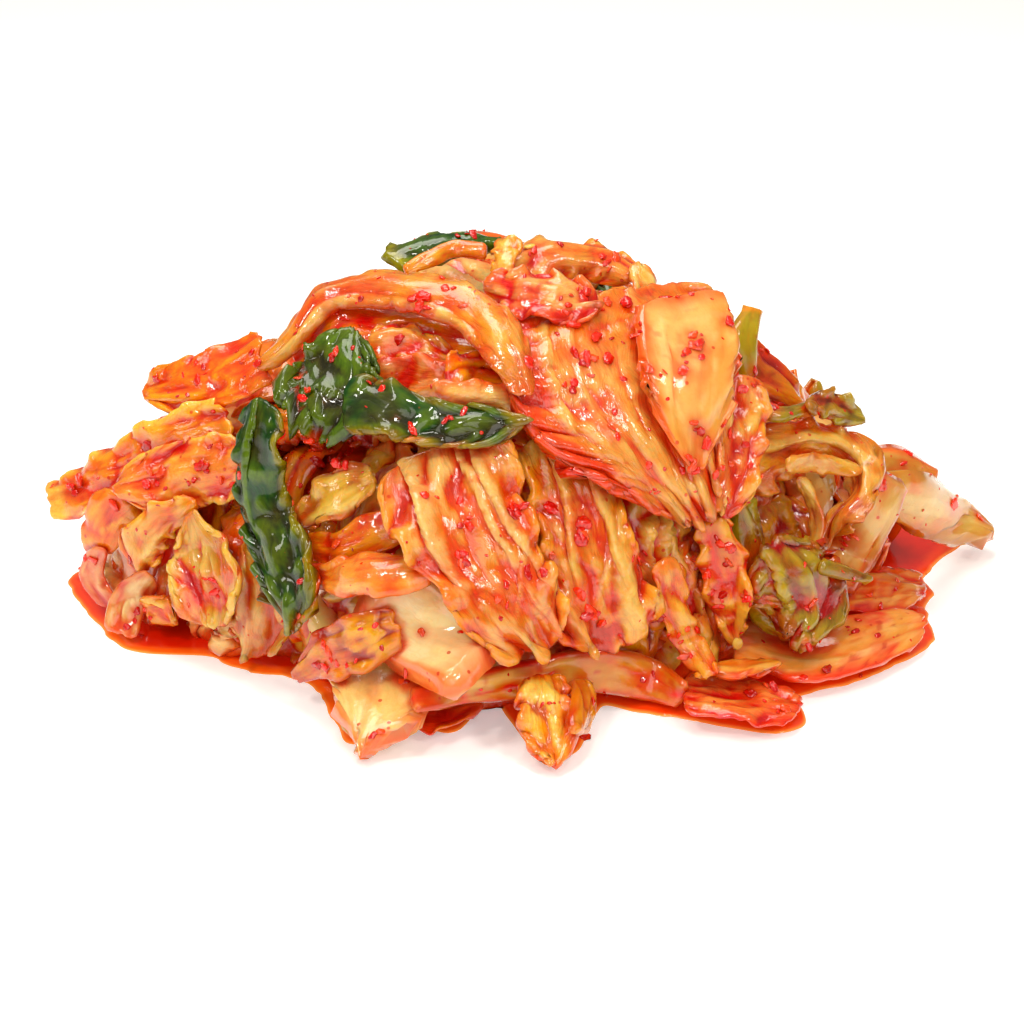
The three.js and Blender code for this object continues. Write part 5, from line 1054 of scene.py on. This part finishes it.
spokes = 540
inset = np.concatenate([[0, 0.12, 0.3, 0.55, 0.9, 1.4, 2.1, 3.0, 4.2, 5.6, 7.4, 9.5, 12, 15, 19, 24, 30, 38]])
turn = np.linspace(0, 2 * math.pi, spokes, endpoint=False)
rad = juice_radius(turn)
IN_, TU_ = np.meshgrid(inset, turn, indexing="ij")
RR = juice_radius(TU_) - IN_ * (1 + 0 * TU_)
x = J_CEN[0] + RR * np.cos(TU_)
y = J_CEN[1] + RR * np.sin(TU_)
# how far in from the nearest stretch of the outline
edge = np.stack([x[0], y[0]], -1)
side = np.roll(edge, -1, axis=0) - edge
for k in range(1, len(inset)):
    q = np.stack([x[k], y[k]], -1)[:, None] - edge[None]
    s = np.clip((q * side).sum(-1) / (side * side).sum(-1), 0, 1)
    IN_[k] = np.minimum(IN_[k], np.linalg.norm(q - s[..., None] * side[None], axis=-1).min(1))
depth = 0.55 + 0.6 * smooth(fbm(x / 40 + 3, y / 40 + 7, 303, 2) + 0.004 * x, 0.3, 0.75)
z = depth * (0.06 + 0.94 * (1 - np.exp(-IN_ / 1.5))) + 0.12 * (fbm(x / 5, y / 5, 304, 2) - 0.5) * smooth(IN_, 1, 4)
z[0] = 0.02
top = np.stack([x, y, np.maximum(z, 0.02)], -1)
bot = top[0].copy()
bot[:, 2] = 0.0
n = len(inset) * spokes
idx = np.arange(n).reshape(len(inset), spokes)
nxt = np.roll(idx, -1, axis=1)
q = np.stack([idx[:-1], nxt[:-1], nxt[1:], idx[1:]], -1).reshape(-1, 4)
kk = np.arange(spokes)
k2 = (kk + 1) % spokes
centre_top, centre_bot = n + spokes, n + spokes + 1
flat = np.concatenate([top.reshape(-1, 3), bot, [[J_CEN[0], J_CEN[1], 0.9], [J_CEN[0], J_CEN[1], 0.0]]])
skirt = np.stack([n + kk, n + k2, idx[0][k2], idx[0]], -1)
cap = []
for k in range(0, spokes, 2):
    cap.append((centre_top, idx[-1, k], idx[-1, (k + 1) % spokes], idx[-1, (k + 2) % spokes]))
    cap.append((centre_bot, n + (k + 2) % spokes, n + (k + 1) % spokes, n + k))
q = np.concatenate([q, skirt, np.array(cap)])
thin_ = smooth(depth, 0.55, 0.9)
ff = fbm(x / 3, y / 3, 305, 2)
cj = mix(np.broadcast_to(srgb((250, 96, 14)), top.shape), np.broadcast_to(srgb((238, 60, 6)), top.shape), thin_)
cj = mix(cj, np.broadcast_to(srgb((214, 28, 2)), top.shape), smooth(IN_ + 1.5 * (ff - 0.5), 0.8, 3.0))
cj = mix(cj, np.broadcast_to(srgb((178, 14, 1)), top.shape), 0.7 * smooth(IN_, 5, 14))
cj = mix(np.broadcast_to(srgb((255, 152, 60)), top.shape), cj, smooth(IN_, 0.0, 0.7))
cj = cj * (0.9 + 0.2 * ff)[..., None]
cj = np.concatenate([cj.reshape(-1, 3), np.broadcast_to(srgb((255, 128, 40)), cj[0].shape), np.repeat(srgb((180, 40, 8))[None], 2, 0)])
add_mesh("juice_puddle", flat, q, cj, MAT["juice"], stands_for=["juice"])

# ------------------------------------------------------------------ chili flakes and seeds
all_v = np.concatenate(BVH_V)
all_f = np.concatenate(BVH_F)
tree = BVHTree.FromPolygons(all_v.tolist(), all_f.tolist())
rng = np.random.default_rng(8)


def ball(sub):
    """A ball of triangles from an icosahedron."""
    t = (1 + 5 ** 0.5) / 2
    v = [(-1, t, 0), (1, t, 0), (-1, -t, 0), (1, -t, 0), (0, -1, t), (0, 1, t), (0, -1, -t), (0, 1, -t), (t, 0, -1), (t, 0, 1), (-t, 0, -1), (-t, 0, 1)]
    f = [(0, 11, 5), (0, 5, 1), (0, 1, 7), (0, 7, 10), (0, 10, 11), (1, 5, 9), (5, 11, 4), (11, 10, 2), (10, 7, 6), (7, 1, 8),
         (3, 9, 4), (3, 4, 2), (3, 2, 6), (3, 6, 8), (3, 8, 9), (4, 9, 5), (2, 4, 11), (6, 2, 10), (8, 6, 7), (9, 8, 1)]
    v = [np.array(p) / np.linalg.norm(p) for p in v]
    for _ in range(sub):
        seen, g = {}, []

        def mid(i, j):
            key = (min(i, j), max(i, j))
            if key not in seen:
                m = v[i] + v[j]
                v.append(m / np.linalg.norm(m))
                seen[key] = len(v) - 1
            return seen[key]
        for i, j, k in f:
            a, b, c = mid(i, j), mid(j, k), mid(k, i)
            g += [(i, a, c), (j, b, a), (k, c, b), (a, b, c)]
        f = g
    return np.array(v), np.array(f)


BALLS = [ball(0), ball(1), ball(2)]


def plate(size, thick, level):
    """One soaked flake: an uneven, bent and rounded scrap in its own axes."""
    v, f = BALLS[level]
    v = v.copy()
    o = rng.uniform(0, 50)
    lump = 1 + 0.55 * (vn(v[:, 0] * 1.7 + o, v[:, 1] * 1.7 + v[:, 2] * 1.3, 5) - 0.5) + 0.35 * (vn(v[:, 0] * 3.4 + o, v[:, 1] * 3.4 - v[:, 2] * 2.1, 6) - 0.5)
    asp = rng.uniform(0.4, 0.9)
    v = v * lump[:, None] * np.array([size / 2, size / 2 * asp, thick / 2])
    bend = rng.uniform(-0.35, 0.35)
    v[:, 2] += bend * v[:, 0] ** 2 / size + 0.12 * size * (vn(v[:, 0] / size * 2.2 + o, v[:, 1] / size * 2.2, 7) - 0.5)
    return v, f


def seed_shape():
    n, m = 10, 4
    v, f = [], []
    for i in range(1, m):
        a = math.pi * i / m
        for k in range(n):
            t = 2 * math.pi * k / n
            v.append((1.25 * math.sin(a) * math.cos(t) * (1 + 0.12 * math.cos(t)), 1.05 * math.sin(a) * math.sin(t), 0.34 * math.cos(a)))
    v += [(0, 0, 0.34), (0, 0, -0.34)]
    top_, bot_ = len(v) - 2, len(v) - 1
    for k in range(n):
        f.append((top_, k, (k + 1) % n))
        f.append((bot_, (m - 2) * n + (k + 1) % n, (m - 2) * n + k))
        for i in range(m - 2):
            a, b = i * n + k, i * n + (k + 1) % n
            f.append((a, a + n, b))
            f.append((b, a + n, b + n))
    return np.array(v, float), np.array(f)


def lie(v, hit, normal, sink, tilt):
    n = np.array(normal)
    n = n + rng.normal(0, tilt, 3)
    n /= np.linalg.norm(n)
    a = np.cross(n, [0.3, 0.9, 0.2])
    a /= np.linalg.norm(a)
    b = np.cross(n, a)
    t = rng.uniform(0, 2 * math.pi)
    u, w = a * math.cos(t) + b * math.sin(t), -a * math.sin(t) + b * math.cos(t)
    return v @ np.array([u, w, n]) + np.array(hit) + n * sink


FLAKES, SEEDS, HALO = [], [], []
RED = [srgb(c) for c in ((232, 30, 4), (222, 20, 2), (238, 48, 10), (196, 12, 1), (228, 34, 6), (242, 70, 18))]


def drop(origin, direction, size, kind="flake", fat=(0.2, 0.36)):
    hit = tree.ray_cast(Vector(origin.tolist()), Vector(direction.tolist()), 1500)
    if hit[0] is None:
        return False
    nrm = hit[1] if hit[1].dot(Vector(direction.tolist())) < 0 else -hit[1]
    if kind == "seed":
        v, f = seed_shape()
        col = np.tile(srgb((255, 186, 80)) * rng.uniform(0.85, 1.05), (len(v), 1))
        v = lie(v, hit[0], nrm, 0.2, 0.15)
        v[:, 2] = np.maximum(v[:, 2], 0.05)
        SEEDS.append((v, f, col))
        return True
    thick = size * rng.uniform(*fat)
    v, f = plate(size, thick, 1 if size < 1.7 else 2)
    if size > 1.3:
        HALO.append((np.array(hit[0]), size))
    c = RED[rng.integers(0, len(RED))] * rng.uniform(0.8, 1.15)
    col = np.clip(np.tile(c, (len(v), 1)) * rng.uniform(0.8, 1.2, (len(v), 1)), 0, 1)
    v = lie(v, hit[0], nrm, thick * 0.22, 0.2 if size > 1.3 else 0.3)
    v[:, 2] = np.maximum(v[:, 2], 0.05)
    FLAKES.append((v, f, col))
    return True


# where flakes gather: picture points, how many, how wide
for px, py, count, wide, lo, hi in (
        (322, 450, 9, 12, 1.6, 3.6), (345, 458, 6, 10, 1.6, 3.4), (336, 352, 4, 6, 1.4, 2.4), (412, 430, 2, 6, 1.6, 3.0),
        (447, 422, 3, 7, 1.4, 2.6), (462, 412, 2, 5, 1.4, 2.6), (368, 382, 1, 3, 1.4, 2.4), (300, 395, 1, 3, 1.4, 2.2),
        (200, 470, 16, 26, 1.4, 3.0), (150, 480, 8, 14, 1.2, 2.4), (75, 486, 6, 8, 1.4, 2.8), (190, 375, 6, 14, 1.2, 2.4),
        (160, 380, 4, 12, 1.0, 2.0), (215, 352, 5, 22, 1.0, 2.0), (255, 355, 6, 16, 1.0, 2.0),
        (460, 560, 7, 9, 1.6, 3.4), (462, 525, 4, 7, 1.4, 2.8), (515, 512, 5, 8, 1.4, 2.8), (580, 535, 6, 8, 1.6, 3.6),
        (588, 612, 6, 9, 1.6, 3.4), (545, 560, 4, 14, 1.2, 2.2), (500, 590, 5, 16, 1.2, 2.2), (640, 560, 4, 12, 1.2, 2.4),
        (418, 300, 5, 7, 1.6, 3.4), (455, 290, 4, 14, 1.0, 2.0), (340, 318, 3, 10, 1.0, 2.0), (560, 316, 7, 14, 1.4, 3.0),
        (600, 300, 9, 18, 1.4, 3.0), (585, 350, 8, 14, 1.4, 3.2), (565, 388, 4, 8, 1.4, 2.6), (612, 262, 6, 12, 1.2, 2.6),
        (640, 330, 6, 14, 1.2, 2.4), (693, 343, 5, 8, 1.6, 3.6), (655, 375, 4, 9, 1.2, 2.4), (700, 432, 5, 8, 1.6, 3.4),
        (686, 470, 5, 8, 1.6, 3.2), (725, 470, 4, 10, 1.2, 2.6), (720, 540, 6, 12, 1.2, 2.6), (695, 570, 6, 12, 1.2, 2.6),
        (715, 600, 6, 10, 1.2, 2.6), (745, 600, 5, 10, 1.2, 2.4), (755, 380, 5, 10, 1.2, 2.4), (780, 410, 5, 10, 1.2, 2.4),
        (850, 545, 5, 12, 1.2, 2.4), (860, 600, 8, 26, 1.2, 2.4), (800, 650, 6, 24, 1.2, 2.4), (770, 705, 10, 22, 1.2, 2.8),
        (680, 640, 5, 14, 1.2, 2.2), (355, 640, 5, 18, 1.2, 2.4), (378, 730, 3, 6, 1.2, 2.4), (325, 650, 4, 10, 1.2, 2.4),
        (130, 620, 7, 16, 1.2, 2.4), (215, 575, 4, 12, 1.2, 2.4), (95, 560, 4, 10, 1.2, 2.2), (330, 665, 5, 14, 1.2, 2.4),
        (405, 680, 4, 10, 1.0, 2.0), (540, 700, 3, 10, 1.0, 2.0), (600, 700, 4, 14, 1.0, 2.0), (305, 500, 3, 10, 1.2, 2.2),
        (620, 430, 4, 16, 1.2, 2.2), (540, 250, 4, 14, 1.0, 2.2), (735, 420, 4, 10, 1.2, 2.4)):
    for _ in range(int(count * 0.7 + 0.5)):
        drop(EYE, pixel_ray(px + rng.normal(0, wide * 0.6), py + rng.normal(0, wide * 0.6)), rng.uniform(lo * 0.9, hi * 0.88), fat=(0.3, 0.55) if hi > 2.7 else (0.2, 0.36))
# and everywhere else, from all sides
placed = 0
while placed < 760:
    a = rng.uniform(0, 2 * math.pi)
    h = rng.uniform(-0.05, 1.0)
    d = np.array([math.cos(a) * math.sqrt(max(0, 1 - h * h)), math.sin(a) * math.sqrt(max(0, 1 - h * h)), h])
    o = CEN + d * SCL * 2.2 + rng.normal(0, 7, 3)
    big = rng.random()
    size = rng.uniform(0.45, 0.9) if big < 0.6 else rng.uniform(0.9, 1.7) if big < 0.88 else rng.uniform(1.7, 3.0)
    if drop(o, -unit(d * SCL), size):
        placed += 1
for _ in range(9):
    a, h = rng.uniform(0, 2 * math.pi), rng.uniform(0.1, 1.0)
    d = np.array([math.cos(a) * math.sqrt(1 - h * h), math.sin(a) * math.sqrt(1 - h * h), h])
    drop(CEN + d * SCL * 2.2, -unit(d * SCL), 2.4, "seed")
# red juice soaks into the leaf round them and along the foot; in the gaps between leaves, painted shade in a dark juice
# red where other leaves stand close in front
soak = np.array([0.76, 0.05, 0.005])
gap_juice_and_shade = srgb((234, 52, 4))
foot = srgb((226, 62, 8))


def crowded(v, f, reach=7.0):
    """How close other leaves stand in front of each vertex, 0 to 1."""
    n = np.zeros_like(v)
    fn = np.cross(v[f[:, 1]] - v[f[:, 0]], v[f[:, 2]] - v[f[:, 0]])
    for k in range(f.shape[1]):
        np.add.at(n, f[:, k], fn)
    n = unit(n)
    out = np.zeros(len(v))
    for turn_ in range(2):
        d = unit(n + 0.75 * unit(rng.normal(0, 1, v.shape)))
        o = v + n * 0.4
        cast = tree.ray_cast
        hit = [cast(a, b, reach)[3] for a, b in zip(o.tolist(), d.tolist())]
        out += np.array([0.0 if h is None else 1 - h / reach for h in hit])
    out /= 2
    deg = np.zeros(len(v))
    for k in range(f.shape[1]):
        np.add.at(deg, f[:, k], 1.0)
    for _ in range(3):
        m = out[f].mean(1)
        acc = np.zeros(len(v))
        for k in range(f.shape[1]):
            np.add.at(acc, f[:, k], m)
        out = 0.25 * out + 0.75 * acc / np.maximum(deg, 1)
    return out


for ob, v, col, f in PAINTED:
    if ob.name.startswith(("tangle_core", "juice")):
        continue
    m = np.zeros(len(v))
    lo, hi = v.min(0) - 4, v.max(0) + 4
    near = [i for i, (p, size) in enumerate(HALO) if np.all(p > lo) and np.all(p < hi)]
    if near:
        pts = np.array([HALO[i][0] for i in near])
        size = np.array([HALO[i][1] for i in near])
        for i0 in range(0, len(v), 4000):
            d = np.linalg.norm(v[i0:i0 + 4000, None, :] - pts[None], axis=-1)
            m[i0:i0 + 4000] = (np.exp(-(d / (0.75 * size)) ** 2)).max(1)
    wob = 0.6 + 0.8 * fbm(v[:, 0] / 1.5, (v[:, 1] + v[:, 2]) / 1.5, 401, 2)
    m = np.clip(m * wob * 0.8, 0, 0.75)[:, None]
    # painted shade: the closer other leaves stand in front, the more the colour goes to the dark gap red
    shade = crowded(v, f)
    wob2 = 0.7 + 0.6 * fbm(v[:, 0] / 3.5, (v[:, 1] + v[:, 2]) / 3.5, 402, 2)
    deep = (np.clip(smooth(shade * wob2, 0.14, 0.66), 0, 1) * 0.85)[:, None]
    low = (smooth(4.2 * wob2 - v[:, 2], 0.0, 3.4) * 0.8)[:, None]
    rgb = col[:, :3]
    green = (rgb[:, 1] > 0.8 * rgb[:, 0])[:, None]
    new = rgb + (gap_juice_and_shade * np.clip(0.6 + 0.8 * rgb.mean(1), 0.6, 1.1)[:, None] - rgb) * deep
    new = new + (foot - new) * low
    new = new + (soak - new) * m
    c = np.ones((len(v), 4), np.float32)
    c[:, 3] = np.clip(col[:, 3] + m[:, 0] + 0.5 * deep[:, 0] + low[:, 0], 0, 1)
    # painted shade: green pieces are darkened in the gaps instead
    c[:, :3] = np.where(green, rgb * (1 - 0.7 * deep), new)
    ob.data.color_attributes["Col"].data.foreach_set("color", c.ravel())
v, f, col = join(FLAKES)
print("flakes", len(FLAKES), "triangles", len(f))
add_mesh("chili_flakes", v, f, col, MAT["chili"], solid=False)
v, f, col = join(SEEDS)
add_mesh("chili_seeds", v, f, col, MAT["stem"], solid=False)

# ------------------------------------------------------------------ floor, light
m, nodes, links = new_material("floor pale")
out = nodes.new("ShaderNodeOutputMaterial")
p = nodes.new("ShaderNodeBsdfPrincipled")
p.inputs["Base Color"].default_value = (0.9, 0.9, 0.9, 1)
p.inputs["Emission Color"].default_value = (1, 1, 1, 1)
p.inputs["Emission Strength"].default_value = 0.32
p.inputs["Roughness"].default_value = 0.6
p.inputs["Specular IOR Level"].default_value = 0.25
links.new(p.outputs[0], out.inputs[0])
bpy.ops.mesh.primitive_plane_add(size=6)
floor = bpy.context.object
m.cycles.emission_sampling = "NONE"
floor.name = "floor"
floor.data.materials.append(m)

world = bpy.data.worlds.new("world")
bpy.context.scene.world = world
world.use_nodes = True
nodes, links = world.node_tree.nodes, world.node_tree.links
bg = nodes["Background"]
tc = nodes.new("ShaderNodeTexCoord")
sep = nodes.new("ShaderNodeSeparateXYZ")
links.new(tc.outputs["Generated"], sep.inputs[0])
sky = nodes.new("ShaderNodeMapRange")
sky.interpolation_type = "SMOOTHSTEP"
sky.inputs["From Min"].default_value, sky.inputs["From Max"].default_value = 0.0, 0.9
sky.inputs["To Min"].default_value, sky.inputs["To Max"].default_value = 0.12, 0.34
links.new(sep.outputs["Z"], sky.inputs["Value"])
bg.inputs[0].default_value = (1.0, 0.955, 0.86, 1)
links.new(sky.outputs["Result"], bg.inputs[1])


def softbox(name, loc, size, power, target=(0, 0, 0.03), colour=(1, 0.965, 0.89), size_y=None):
    li = bpy.data.lights.new(name, "AREA")
    li.shape = "RECTANGLE"
    li.size = size
    li.size_y = size_y or size
    li.energy = power
    li.color = colour
    ob = bpy.data.objects.new(name, li)
    bpy.context.scene.collection.objects.link(ob)
    ob.location = loc
    ob.rotation_euler = (Vector(target) - Vector(loc)).to_track_quat("-Z", "Y").to_euler()
    return ob


softbox("key", (-0.12, 0.2, 0.72), 0.46, 3.1, size_y=0.34)
softbox("fill", (0.45, -0.45, 0.6), 0.16, 1.5)
softbox("spark", (-0.3, -0.4, 0.62), 0.1, 1.6)
softbox("spark_right", (0.22, -0.3, 0.75), 0.07, 0.9)
softbox("spark_left", (-0.62, -0.28, 0.3), 0.12, 0.4, target=(-0.06, -0.01, 0.02))
softbox("front", (0.05, -0.8, 0.45), 0.5, 1.9)
softbox("strip", (-0.05, -0.12, 0.8), 0.05, 1.0, size_y=0.5)

sc = bpy.context.scene
sc.cycles.use_adaptive_sampling = True
sc.cycles.adaptive_threshold = 0.045
sc.cycles.max_bounces = 6
sc.cycles.diffuse_bounces = 3
sc.cycles.glossy_bounces = 2
sc.view_settings.view_transform = "Standard"
sc.view_settings.look = "None"
sc.view_settings.exposure = 0.0
sc.view_settings.gamma = 1.0

tri = sum(len(x) * 2 for x in BVH_F) + sum(len(x[1]) for x in FLAKES)
print("triangles about", tri, "of them leaves", HERO_COUNT)
